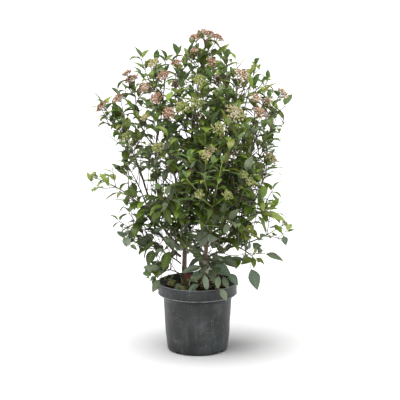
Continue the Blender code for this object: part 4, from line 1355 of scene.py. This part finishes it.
def rib_faces(stations, crossings, veins):
    """Which upper faces belong to the midrib, and on a veined leaf to its side veins."""
    middles = ((stations[:-1] + stations[1:]) / 2, (crossings[:-1] + crossings[1:]) / 2)
    along, out = np.meshgrid(*middles, indexing="ij")
    ribs = np.abs(out) < 0.01
    if veins:
        turn = ((along - VEIN_SLANT * np.abs(out)) * VEIN_PAIRS) % 1.0
        ribs |= (turn < VEIN_WIDTH) & (along > 0.08) & (np.abs(out) < 0.8)
    return ribs.ravel()


def add_leaves(joined, some_leaves, veins=False):
    """Many leaves at once: upper face with its midrib, paler lower face, and stalk."""
    leaves = leaf_arrays(some_leaves, joined.slots)
    count = len(some_leaves)
    stations, crossings = (FINE_STATIONS, FINE_CROSSINGS) if veins else (STATIONS, CROSSINGS)
    upper = leaf_grid(leaves, stations, crossings, 0.0).reshape(count, -1, 3)
    in_rib = rib_faces(stations, crossings, veins)
    slots = np.where(in_rib[None], leaves["rib"][:, None], leaves["top"][:, None])
    faces = grid_faces(len(stations), len(crossings))[:, ::-1]
    spread(joined, upper, faces, slots, net_maps(stations, crossings * 0.5 + 0.5))
    lower = leaf_grid(leaves, STATIONS, UNDER_CROSSINGS, LEAF_FILM * 1.8).reshape(count, -1, 3)
    faces = grid_faces(len(STATIONS), len(UNDER_CROSSINGS))
    slots = np.repeat(leaves["under"][:, None], len(faces), axis=1)
    spread(joined, lower, faces, slots, net_maps(STATIONS, UNDER_CROSSINGS * 0.5 + 0.5))
    side = np.cross(leaves["face"], leaves["heading"])
    stalk = []
    for share, radius, drop in STALK_RINGS:
        centre = leaves["root"] + leaves["heading"] * (leaves["length"] * share)[:, None]
        centre = centre - leaves["face"] * drop
        for angle in round_angles(4):
            stalk.append(centre + (side * math.cos(angle) + leaves["face"] * math.sin(angle)) * radius)
    walls, _ = tube_faces(len(STALK_RINGS), 4)
    slots = np.repeat(leaves["stalk"][:, None], len(walls), axis=1)
    spread(joined, np.stack(stalk, axis=1), walls[:, ::-1], slots)


def spray_tone(mass, spray, place):
    """The leaf material of one spray, by its place in the crown."""
    draw = draws(f"tone {mass} {spray}")
    pick = draw()
    height = place[2] + (draw() - 0.5) * 0.12
    if mass in YOUNG_MASSES and pick < 0.40:
        return "leaf_young" if pick < 0.22 else "leaf_bright"
    if place[0] > 0.13 and 0.33 < height < 0.68:
        tones = "side"
    elif place[0] < -0.09 and height > 0.58:
        tones = "left"
    # Painted shade: leaves in the crown's lower middle mostly take the darker core tones.
    elif height > 0.37 and in_core(place) and pick > 0.12:
        tones = "core"
    else:
        tones = "low" if height < 0.37 else "middle" if height < 0.60 else "high" if height < 0.82 else "top"
    tones = TONES[tones]
    return f"leaf_{tones[int(draw() * len(tones))]}"


def leaf_arrays(leaves, slots):
    """What the leaves' meshes need, as arrays, with each leaf's own droop, fold and curl."""
    draw = draws("shapes")
    table = {key: [] for key in LEAF_KEYS}
    for leaf in leaves:
        height = leaf.root[2]
        low = low_share(height)
        tone = leaf.tone or spray_tone(leaf.mass, leaf.spray, leaf.root)
        kind = "grey" if tone in GREY_TONES else "green"
        length, level, heading = leaf.length * (leaf.scale or 1.0), 0.0, leaf.heading
        if not leaf.posed:
            length = leaf.length * (0.80 + 0.10 * low if leaf.spray < WAND_SPRAYS else 1.0)
            length *= 0.76 if leaf.mass in SMALLER_MASSES else 1.0
            length *= 0.82 if tone == "leaf_young" else 1.0 + 0.14 * min(1.0, max(0.0, height - 0.5) / 0.25)
            level = 0.9 - 0.5 * low
            climb = 0.62 * min(1.0, max(0.0, height - 0.42) / 0.25) * (0.5 + 0.7 * draw())
            heading = unit(heading + UP * climb)
        green_stalk = tone in ("leaf_young", "leaf_bright") or draw() < 0.35
        row = (
            slots[tone],
            slots[f"rib_{kind}"],
            slots[f"under_{kind}"],
            slots["stalk_green" if green_stalk else "stalk_red"],
            leaf.root,
            heading,
            across(leaf.face * (0.35 + 0.5 * low) + UP * level - heading * 0.2, heading),
            length,
            length * (leaf.ratio or 0.34 + 0.11 * draw() + 0.12 * low * (0.3 if in_core(leaf.root) else 1.0)),
            (0.45 + 1.15 * draw()) * (0.45 if leaf.posed else 1 - 0.35 * low),
            0.12 + 0.45 * draw(),
            0.06 + 0.14 * draw(),
            draw(),
        )
        for key, value in zip(LEAF_KEYS, row):
            table[key].append(value)
    return {key: np.array(values) for key, values in table.items()}


def build_leaves():
    for piece, carriers in LEAF_PIECES.items():
        masses = [name for name, (limb, *_rest) in MASSES.items() if limb in carriers]
        joined = Joined(piece, *LEAF_TOPS, *LEAF_EXTRAS, *STALKS)
        for posed in (False, True):
            leaves = [leaf for leaf in foliage.leaves if leaf.mass in masses and leaf.posed == posed]
            if leaves:
                add_leaves(joined, leaves, veins=posed)
        joined.finish(masses)


# ---------------------------------------------------------------- twigs
def build_twigs():
    joined = Joined("twigs", "twig_old", "twig_red", "twig_young")

    def add(limb, sides, oldest, youngest):
        path = limb.path(0.010)
        radii = np.interp(np.linspace(0, 1, len(path)), np.linspace(0, 1, len(limb.radii)), limb.radii)
        age = np.linspace(oldest, youngest, len(path) - 1)
        add_tube(joined, path, radii, sides, np.clip(np.round(age), 0, 2).astype(int))

    for name, leader in leaders.items():
        add(leader, 8, -0.4, 2.4 if name in YOUNG_MASSES or leader.points[-1][2] < 0.5 else 1.5)
        for index, twig in enumerate(growths[name].twigs):
            draw = draws(f"twig {name} {index}")
            add(twig, 6, 0.2 + draw() * 0.6, 1.0 + draw() * 1.2)
    for twig in foliage.twigs:
        fresh = twig.points[-1][1] < FRESH_FRONT and twig.age == YOUNG_AGE
        add(twig, 6, 1.6 if fresh else 0.6, 2.0 if twig.age < 0.4 else 1.4)
    joined.finish(list(MASSES))


# ---------------------------------------------------------------- bud clusters
BUD_RADIUS = 0.0021
BUDS_ON_STALK = 4
CLUSTER_SPREAD = 1.18
STALK_CORNERS = ((1.0, 0.0), (-0.5, 0.866), (-0.5, -0.866))
BUD_LEVEL = np.array([0.31, 0.94, 0.17])


def small_ball():
    shape = bmesh.new()
    bmesh.ops.create_icosphere(shape, subdivisions=1, radius=1.0)
    points = np.array([vertex.co[:] for vertex in shape.verts])
    faces = np.array([[vertex.index for vertex in face.verts] for face in shape.faces])
    shape.free()
    return points, faces


BALL_POINTS, BALL_FACES = small_ball()


def around(axis, tilt, turn):
    """A direction at a tilt from an axis, at a turn round it."""
    return unit(axis * math.cos(tilt) + side_round(axis, turn, BUD_LEVEL) * math.sin(tilt))


def build_clusters():
    joined = Joined("buds", *BUD_COLOURS, "twig_young")
    for index, (leader, radius, tint, _mass) in enumerate(foliage.clusters):
        add_cluster(joined, leader, radius * CLUSTER_SPREAD, tint, draws(f"cluster {index}"))
    joined.finish(sorted({mass for *_rest, mass in foliage.clusters}))


def add_cluster(joined, leader, radius, tint, draw):
    """A domed, flat-topped cluster: rays from the tip, each forking into short stalks with a bud on each."""
    tip, up = leader.points[-1], cluster_up(leader)
    forks = 3 if radius < 0.020 else 4 if radius < 0.030 else 5
    rays = forks + 2
    top = radius * 0.84
    stalk = joined.slots["twig_young" if tint == "green" else "bud_brick"]
    fine_stalk = joined.slots["twig_young" if tint == "green" else "bud_leaf"]
    tones = [joined.slots[f"bud_{name}"] for name in BUD_TINTS[tint]]
    places, ways, sizes, slots, hubs = [], [], [], [], []
    turn = draw() * 6.28
    for ray in range(rays + 1):
        out = 0.0 if ray == rays else radius * (0.48 + 0.14 * draw())
        way = around(up, math.pi / 2, turn + ray * 2 * math.pi / rays)
        knot = tip + up * top * (0.46 + 0.1 * draw()) + way * out * 0.72
        path = np.array([tip - up * 0.001, (tip + knot) / 2 + way * 0.001, knot])
        add_tube(joined, path, [0.0009, 0.0008, 0.0007], 4, stalk)
        for fork in range(forks):
            spin = turn + ray + fork * 2 * math.pi / forks + draw() * 0.5
            small = around(up, math.pi / 2, spin)
            hub = knot + small * radius * (0.20 + 0.10 * draw()) + way * out * 0.24
            flat = hub - tip - up * np.dot(hub - tip, up)
            dome = top * (0.96 - 0.55 * (np.linalg.norm(flat) / radius) ** 2 + 0.26 * (draw() - 0.5))
            hub = tip + flat + up * dome
            path = np.array([knot, (knot + hub) / 2 + small * 0.0005, hub])
            add_tube(joined, path, [0.0006, 0.0005, 0.0005], 4, fine_stalk)
            own = tones[0 if draw() < 0.5 else 1 if draw() < 0.45 else 2]
            for bud in range(BUDS_ON_STALK):
                lean = around(up, 0.15 + 0.95 * draw(), spin + bud * 2.51 + draw())
                hubs.append(hub)
                places.append(hub + lean * (0.0030 + 0.0028 * draw()))
                ways.append(lean)
                sizes.append(BUD_RADIUS * (0.75 + 0.5 * draw()))
                slots.append(own if draw() < 0.6 else tones[int(draw() * 3)])
    places, ways, hubs = np.array(places), np.array(ways), np.array(hubs)
    sides = np.array([across(BUD_LEVEL, way) for way in ways])
    others = np.cross(ways, sides)
    turned = [sides * x + others * y for x, y in STALK_CORNERS]
    stalks = np.stack([end + way * 0.0004 for end in (hubs, places) for way in turned], axis=1)
    walls = np.array([(0, 1, 4, 3), (1, 2, 5, 4), (2, 0, 3, 5)])
    spread(joined, stalks, walls, np.full((len(places), 3), fine_stalk))
    x, y, z = (BALL_POINTS * (1.0, 1.0, 1.2)).T
    points = sides[:, None] * x[:, None] + others[:, None] * y[:, None] + ways[:, None] * z[:, None]
    points = points * np.array(sizes)[:, None, None] + places[:, None]
    spread(joined, points, BALL_FACES, np.repeat(np.array(slots)[:, None], len(BALL_FACES), axis=1))


# ---------------------------------------------------------------- stems and boughs with their bark's relief
BARK_SPACING = 0.0028
KNOT_SPACING = 0.042
KNOT_REACH = 0.0035


def noise_at(x, y, z):
    return noise.noise(Vector((x, y, z)))


def bark_rings(limb, sides, draw, flare):
    """Rings of points along a limb, with ridges, knots and, on a stem, a flared and lobed foot."""
    path = limb.path(BARK_SPACING)
    radii = np.interp(np.linspace(0, 1, len(path)), (0, 1), (limb.radii[-LIMB_STEPS - 1], limb.radii[-1]))
    if flare:
        heights = np.arange(0, FLARE_HEIGHT, BARK_SPACING)
        path = np.vstack([limb.points[0] + UP * heights[:, None], path])
        radii = np.concatenate([radii[0] + (flare - radii[0]) * (1 - heights / FLARE_HEIGHT) ** 1.9, radii])
    reach = reach_along(path)
    knots = np.arange(KNOT_SPACING * draw(), reach[-1], KNOT_SPACING)
    shift = draw() * 50
    widths = np.zeros((len(path), sides))
    for row, (far, radius) in enumerate(zip(reach, radii)):
        swell = sum(0.10 * math.exp(-(((far - knot) / KNOT_REACH) ** 2)) for knot in knots)
        for column, angle in enumerate(round_angles(sides)):
            x, y = math.cos(angle), math.sin(angle)
            ridge = noise_at(x * 2.6 + shift, y * 2.6, far * 26)
            grain = noise_at(x * 7.0, y * 7.0 + shift, far * 120)
            lobe = 0.0
            if flare and far < FLARE_HEIGHT:
                lobe = 0.16 * (1 - far / FLARE_HEIGHT) * (math.sin(angle * 4 + shift) - 0.6)
            widths[row, column] = radius * (0.97 + 0.10 * ridge + 0.05 * grain + swell + lobe)
    return rings(path, widths, sides), reach


def build_bark():
    for piece, names, sides, material in (
        ("stem_bark", list(STEMS), 24, "bark"),
        ("bough_bark_relief", list(BOUGHS), 14, "bough_bark"),
    ):
        joined = Joined(piece, material)
        for name in names:
            flare = STEMS[name][2] if name in STEMS else None
            add_loops(joined, *bark_rings(limbs[name], sides, draws(f"bark {name}"), flare))
        joined.finish(names)


# ---------------------------------------------------------------- pot and compost
POT_SIDES = 160
DENT = (0.05, 0.085)
SOIL_EDGE = 0.1035
SOIL_ROWS = 46
SOIL_SIDES = 150
CRUMBS = 900
CRUMB_EDGE = 0.100
CRUMB_CLEARANCE = 1.15
SHARP_EDGE = math.radians(38)


def wall_radius(height):
    heights = (FOOT_HEIGHT, WALL_BEND_HEIGHT, POT_HEIGHT - RIM_BAND)
    return float(np.interp(height, heights, (FOOT_RADIUS, WALL_BEND_RADIUS, WALL_TOP_RADIUS)))


def arc(radius, height, bend_radius, start, end, steps):
    """Points of an arc in the pot's profile, in degrees from outwards."""
    turns = np.radians(np.linspace(start, end, steps + 1))
    return [(radius + bend_radius * math.cos(turn), height + bend_radius * math.sin(turn)) for turn in turns]


def pot_profile():
    """The pot's section as (radius, height), from the floor inside over the rim to the underside."""
    band_foot = POT_HEIGHT - RIM_BAND
    shelf = POT_HEIGHT - RIM_BAND * 0.72
    inner = RIM_RADIUS - RIM_LIP
    wall_heights = np.linspace(band_foot - RIM_CHAMFER - 0.004, FOOT_HEIGHT + 0.003, 26)
    return [
        (FOOT_RADIUS - WALL * 2.2, FLOOR),
        (FOOT_RADIUS - WALL, FOOT_HEIGHT),
        (WALL_BEND_RADIUS - WALL, WALL_BEND_HEIGHT),
        (wall_radius(shelf) - WALL, shelf),
        (inner - 0.004, shelf + 0.006),
        (inner, POT_HEIGHT - RIM_BAND * 0.30),
        *arc(inner + 0.0012, POT_HEIGHT - 0.0012, 0.0012, 180, 90, 4),
        *arc(RIM_RADIUS - 0.0014, POT_HEIGHT - 0.0014, 0.0014, 90, 0, 5),
        (RIM_RADIUS, POT_HEIGHT - 0.006),
        (RIM_RADIUS - 0.0005, POT_HEIGHT - 0.016),
        (RIM_RADIUS - 0.0008, band_foot + 0.0046),
        (RIM_RADIUS - 0.0001, band_foot + 0.0032),
        *arc(RIM_RADIUS - 0.0016, band_foot + 0.0016, 0.0016, 20, -80, 5),
        (RIM_RADIUS - 0.0045, band_foot - 0.0002),
        (RIM_RADIUS - 0.0064, band_foot - 0.0026),
        (WALL_TOP_RADIUS + 0.0030, band_foot - 0.0085),
        (WALL_TOP_RADIUS + 0.0004, band_foot - RIM_CHAMFER),
        *((wall_radius(height), height) for height in wall_heights),
        (FOOT_RADIUS - 0.0002, FOOT_HEIGHT - 0.001),
        (FOOT_RADIUS - 0.0018, FOOT_HEIGHT * 0.33),
        (FOOT_FLAT_RADIUS + 0.001, 0.0004),
        (FOOT_FLAT_RADIUS, 0.0),
        (0.06, 0.0),
        (0.02, 0.0),
    ]


def pot_bulge(row, height, angle):
    """How far the pot's surface is off its round: soft unevenness, and a dent in its wall."""
    x, y = math.cos(angle), math.sin(angle)
    if 0.012 < height < POT_HEIGHT - RIM_BAND - RIM_CHAMFER:
        off = ((angle - DENT[0] + math.pi) % (2 * math.pi) - math.pi) / 0.22
        dent = 0.0016 * math.exp(-(off**2) - ((height - DENT[1]) / 0.022) ** 2)
        return 0.0 - dent - 0.0004 * (1 + noise_at(x * 1.6, y * 1.6, height * 9))
    if height > POT_HEIGHT - RIM_BAND and row > 10:
        return -0.0003 * (1 + noise_at(x * 2.2, y * 2.2, height * 6))
    return 0.0


def build_pot():
    loops = [
        [
            (wide * math.cos(angle), wide * math.sin(angle), height)
            for angle in round_angles(POT_SIDES)
            for wide in [radius + pot_bulge(row, height, angle)]
        ]
        for row, (radius, height) in enumerate(pot_profile())
    ]
    joined = Joined("nursery_pot", "pot_plastic")
    joined.add(np.array(loops).reshape(-1, 3), *((faces, 0) for faces in tube_faces(len(loops), POT_SIDES)))
    pot = joined.build()
    cutters = []
    for index in range(NOTCHES):
        mesh = bpy.data.meshes.new(f"notch_{index}")
        shape = bmesh.new()
        bmesh.ops.create_cube(shape, size=1.0)
        bmesh.ops.scale(shape, vec=(NOTCH_DEPTH, NOTCH_WIDTH, NOTCH_HEIGHT * 2), verts=shape.verts)
        shape.to_mesh(mesh)
        shape.free()
        cutter = link(bpy.data.objects.new(mesh.name, mesh))
        turn = Matrix.Rotation(NOTCH_TURN + 2 * math.pi * index / NOTCHES, 4, "Z")
        cutter.matrix_world = turn @ Matrix.Translation((NOTCH_MIDDLE, 0.0, 0.0))
        cut = pot.modifiers.new(cutter.name, "BOOLEAN")
        cut.operation = "DIFFERENCE"
        cut.object = cutter
        cutters.append(cutter)
    graph = bpy.context.evaluated_depsgraph_get()
    pot.data = bpy.data.meshes.new_from_object(pot.evaluated_get(graph))
    pot.modifiers.clear()
    for cutter in cutters:
        bpy.data.objects.remove(cutter)
    pot.data.set_sharp_from_angle(angle=SHARP_EDGE)
    finish_piece(pot, ["pot"])


def soil_point(radius, angle):
    """A point of the compost's surface: level in the middle, lower by the wall, and lumpy."""
    x, y = radius * math.cos(angle), radius * math.sin(angle)
    return x, y, soil_height(x, y)


def soil_height(x, y):
    fall = max(0.0, math.hypot(x, y) - SOIL_LEVEL_RADIUS) / 0.044 * SOIL_FALL
    lumps = noise_at(x * 55, y * 55, 0.3) * 0.0022 + noise_at(x * 190, y * 190, 4.0) * 0.0011
    return SOIL_HEIGHT - 0.0012 - fall + lumps


def build_compost():
    angles = [2 * math.pi * column / SOIL_SIDES for column in range(SOIL_SIDES)]
    radii = [SOIL_EDGE * (row / (SOIL_ROWS - 1)) ** 0.8 for row in range(SOIL_ROWS)]
    points = [soil_point(radius, angle) for radius in radii for angle in angles]
    bend_radius = WALL_BEND_RADIUS - WALL - 0.001
    for radius, height in ((SOIL_EDGE, 0.176), (bend_radius, WALL_BEND_HEIGHT), (0.084, 0.006)):
        points += [(radius * math.cos(angle), radius * math.sin(angle), height) for angle in angles]
    walls, ends = tube_faces(SOIL_ROWS + 3, SOIL_SIDES)
    steps = np.arange(SOIL_SIDES)
    centre = np.stack([steps * 0, steps + SOIL_SIDES, (steps + 1) % SOIL_SIDES + SOIL_SIDES], axis=1)
    joined = Joined("compost_surface", "compost")
    foot = ends[len(ends) // 2 :, ::-1]
    joined.add(np.array(points), (walls[SOIL_SIDES:, ::-1], 0), (centre, 0), (foot, 0))
    joined.finish(["compost"])


def near_stem(x, y, share):
    return any(math.hypot(x - foot[0], y - foot[1]) < flare * share for foot, _, flare, *_ in STEMS.values())


def strewn(draw, radius):
    """A place on the compost, as likely anywhere within a radius."""
    radius, angle = radius * math.sqrt(draw()), draw() * 2 * math.pi
    return radius * math.cos(angle), radius * math.sin(angle)


def build_crumbs():
    """Crumbs of compost and bits of bark strewn on the surface."""
    joined = Joined("compost_crumbs", "crumb_dark", "crumb_brown", "crumb_pale")
    draw = draws("crumbs")
    for _ in range(CRUMBS):
        x, y = strewn(draw, CRUMB_EDGE)
        if near_stem(x, y, CRUMB_CLEARANCE):
            continue
        size = 0.0010 + 0.0030 * draw() ** 2.2
        shape = np.array([1.0, 0.55 + 0.5 * draw(), 0.35 + 0.4 * draw()]) * size
        jitter = np.array([[0.72 + 0.5 * draw()] for _ in BALL_POINTS])
        turn = Matrix.Rotation(draw() * 6.28, 3, "Z") @ Matrix.Rotation((draw() - 0.5) * 1.2, 3, "X")
        points = (BALL_POINTS * jitter * shape) @ np.array(turn).T
        points += (x, y, soil_height(x, y) + size * 0.22)
        pick = draw()
        joined.add(points, (BALL_FACES, 0 if pick < 0.62 else 1 if pick < 0.93 else 2))
    obj = joined.build()
    obj.data.shade_flat()
    finish_piece(obj)


# Bits that lie on the compost: root, heading, length, width ratio and material.
FALLEN = (
    ((-0.02, 0.03, 0.193), (-0.6, -0.5, 0.3), 0.032, 0.55, "fallen_red"),
    ((-0.074, -0.028, 0.191), (0.8, -0.3, 0.35), 0.04, 0.46, "fallen_straw"),
    ((-0.06, -0.058, 0.19), (0.95, 0.1, 0.35), 0.036, 0.44, "fallen_straw"),
    ((-0.03, -0.076, 0.184), (0.9, 0.3, 0.1), 0.028, 0.4, "fallen_straw"),
    ((-0.095, -0.012, 0.184), (0.3, -0.9, 0.25), 0.026, 0.45, "fallen_brown"),
    ((0.08, 0.04, 0.184), (-0.8, -0.4, 0.15), 0.03, 0.42, "fallen_brown"),
    ((0.06, 0.062, 0.184), (0.9, -0.2, 0.12), 0.026, 0.42, "fallen_brown"),
    ((0.088, -0.028, 0.183), (-0.4, 0.8, 0.15), 0.028, 0.4, "fallen_straw"),
)
# Leaves that stand up from the rest: a dead red one on the main stem, and three by the wall at the left.
LEANING = (
    ((-0.0385, -0.0105, 0.217), (0.66, 0.0, 0.75), 0.028, 0.56, "fallen_red"),
    ((-0.092, 0.0, 0.19), (0.64, 0.0, 0.77), 0.032, 0.66, "fallen_straw"),
    ((-0.077, -0.012, 0.19), (0.88, 0.0, 0.47), 0.034, 0.54, "leaf_grey"),
    ((-0.048, -0.036, 0.191), (0.88, 0.0, 0.49), 0.024, 0.56, "weed_green"),
)
LYING_FRONT = 1.0
LEANING_FRONT = 4.0
TO_FRONT = np.array([0.0, -0.7, 0.0])
LITTER_TONES = ("fallen_brown", "fallen_straw", "fallen_straw", "leaf_olive")
LITTER_COUNT = 44
LITTER_SPREAD = 0.094
LITTER_EDGE = 0.098
STICK_COUNT = 22
STICK_SPREAD = 0.085
STICK_EDGE = 0.097
# How far off the compost litter lies, and how far off a stem in shares of its flare.
LITTER_LIFT = 0.0012
CLEARANCE = 1.2
SPRIG_RADII = (0.0009, 0.0005)
SPRIG_SPACING = 0.004
# Seedlings: foot and tip.
WEED_SPRIGS = (
    ((-0.078, 0.03, 0.186), (-0.106, 0.026, 0.214)),
    ((-0.07, 0.006, 0.188), (-0.082, -0.004, 0.228)),
    ((-0.06, -0.04, 0.188), (-0.074, -0.048, 0.222)),
    ((0.076, 0.01, 0.187), (0.09, 0.006, 0.216)),
)


def litter_leaf(root, heading, length, ratio, tone, draw, to_front=0.0):
    face = UP + TO_FRONT * to_front + np.array([draw() - 0.5, draw() - 0.5, 0.0]) * 0.5
    return Leaf(np.array(root), np.array(heading), face, length, tone, ratio, 1.0)


def build_litter():
    """Fallen leaves, sticks and small seedlings on the compost."""
    names = ("fallen_red", "fallen_straw", "fallen_brown", "weed_green", "leaf_olive", "leaf_grey")
    joined = Joined("compost_litter", *names, *LEAF_EXTRAS, *STALKS, "twig_old", "twig_young")
    draw = draws("litter")
    leaves = [litter_leaf(*row, draw, LYING_FRONT) for row in FALLEN]
    leaves += [litter_leaf(*row, draw, LEANING_FRONT) for row in LEANING]
    while len(leaves) < len(FALLEN) + len(LEANING) + LITTER_COUNT:
        x, y = strewn(draw, LITTER_SPREAD)
        turn, length = draw() * 2 * math.pi, 0.010 + 0.016 * draw()
        way = np.array([math.cos(turn), math.sin(turn), 0.12 * draw()])
        if near_stem(x, y, CLEARANCE) or math.hypot(x + way[0] * length, y + way[1] * length) > LITTER_EDGE:
            continue
        tone = LITTER_TONES[int(draw() * len(LITTER_TONES))]
        root = (x, y, soil_height(x, y) + LITTER_LIFT + 0.003 * draw())
        leaves.append(litter_leaf(root, way, length, 0.34 + 0.2 * draw(), tone, draw))
    for foot, tip in WEED_SPRIGS:
        foot, tip = np.array(foot), np.array(tip)
        sprig = curved((foot, (foot + tip) / 2 + UP * 0.006, tip), SPRIG_RADII, 6)
        path = sprig.path(SPRIG_SPACING)
        add_tube(joined, path, np.linspace(*SPRIG_RADII, len(path)), 5, joined.slots["twig_young"])
        for node in range(4):
            root, way, _ = sprig.at(sprig.length * (0.34 + 0.22 * node))
            out = side_round(way, node * math.pi / 2 + draw() * 0.4)
            for heading in (out + way * 0.5, way * 0.5 - out):
                leaves.append(litter_leaf(root, heading, 0.011 + 0.005 * draw(), 0.55, "weed_green", draw))
    add_leaves(joined, leaves)
    sticks = 0
    while sticks < STICK_COUNT:
        x, y = strewn(draw, STICK_SPREAD)
        turn, length = draw() * 2 * math.pi, 0.014 + 0.028 * draw()
        way = np.array([math.cos(turn), math.sin(turn), 0.10 * (draw() - 0.3)])
        start = np.array([x, y, soil_height(x, y) + LITTER_LIFT])
        end = start + way * length
        crossing = any(near_stem(*place[:2], CLEARANCE) for place in (start, end))
        if crossing or math.hypot(*end[:2]) > STICK_EDGE:
            continue
        end[2] = max(end[2], soil_height(*end[:2]) + LITTER_LIFT)
        middle = (start + end) / 2 + np.array([draw() - 0.5, draw() - 0.5, 0.4]) * 0.004
        thick = 0.0006 + 0.0008 * draw()
        path = np.array([start, middle, end])
        add_tube(joined, path, [thick, thick * 1.1, thick * 0.7], 6, joined.slots["twig_old"])
        sticks += 1
    joined.finish()


build_leaves()
build_twigs()
build_clusters()
build_bark()
build_pot()
build_compost()
build_crumbs()
build_litter()

# ---------------------------------------------------------------- floor, light and camera
FLOOR_HALF = 30.0
FLOOR_DROP = 0.0002
# How far up the white rim of the surroundings goes, and the light of the rim and of all above it.
WHITE_RIM = (0.10, 0.22)
RIM_LIGHT = 1.05
WORLD_LIGHT = 0.5
KEY_LIGHT = 5.0
KEY_SPREAD = 52.0
KEY_TILT = 8.0
KEY_TURN = -50.0
CAMERA_PITCH = 11.7
SENSOR_WIDTH = 36.0
CAMERA_LENS = SENSOR_WIDTH * 1871.0 / 400.0


def build_floor():
    shape = bmesh.new()
    bmesh.ops.create_grid(shape, x_segments=2, y_segments=2, size=FLOOR_HALF)
    mesh = bpy.data.meshes.new("floor")
    shape.to_mesh(mesh)
    shape.free()
    mesh.materials.append(materials["floor_pale"])
    floor = link(bpy.data.objects.new("floor", mesh))
    floor.location.z = -FLOOR_DROP


def build_light():
    world = bpy.data.worlds.new("studio")
    world.use_nodes = True
    tree = world.node_tree
    background = tree.nodes["Background"]
    background.inputs["Color"].default_value = (1.0, 1.0, 1.0, 1.0)
    way = tree.nodes.new("ShaderNodeTexCoord")
    parts = tree.nodes.new("ShaderNodeSeparateXYZ")
    strength = tree.nodes.new("ShaderNodeMapRange")
    for socket, value in zip(strength.inputs[1:5], (*WHITE_RIM, RIM_LIGHT, WORLD_LIGHT)):
        socket.default_value = value
    tree.links.new(way.outputs["Generated"], parts.inputs[0])
    tree.links.new(parts.outputs["Z"], strength.inputs["Value"])
    tree.links.new(strength.outputs[0], background.inputs["Strength"])
    bpy.context.scene.world = world
    sun = link(bpy.data.objects.new("key", bpy.data.lights.new("key", "SUN")))
    sun.data.energy = KEY_LIGHT
    sun.data.angle = math.radians(KEY_SPREAD)
    sun.rotation_euler = (math.radians(KEY_TILT), 0.0, math.radians(KEY_TURN))


def build_camera():
    camera = link(bpy.data.objects.new("camera", bpy.data.cameras.new("camera")))
    camera.location = EYE
    camera.rotation_euler = (math.radians(90.0 - CAMERA_PITCH), 0.0, 0.0)
    camera.data.lens = CAMERA_LENS
    camera.data.sensor_width = SENSOR_WIDTH
    camera.data.clip_end = 100.0
    bpy.context.scene.camera = camera


build_floor()
build_light()
build_camera()
bpy.context.scene.view_settings.view_transform = "Standard"
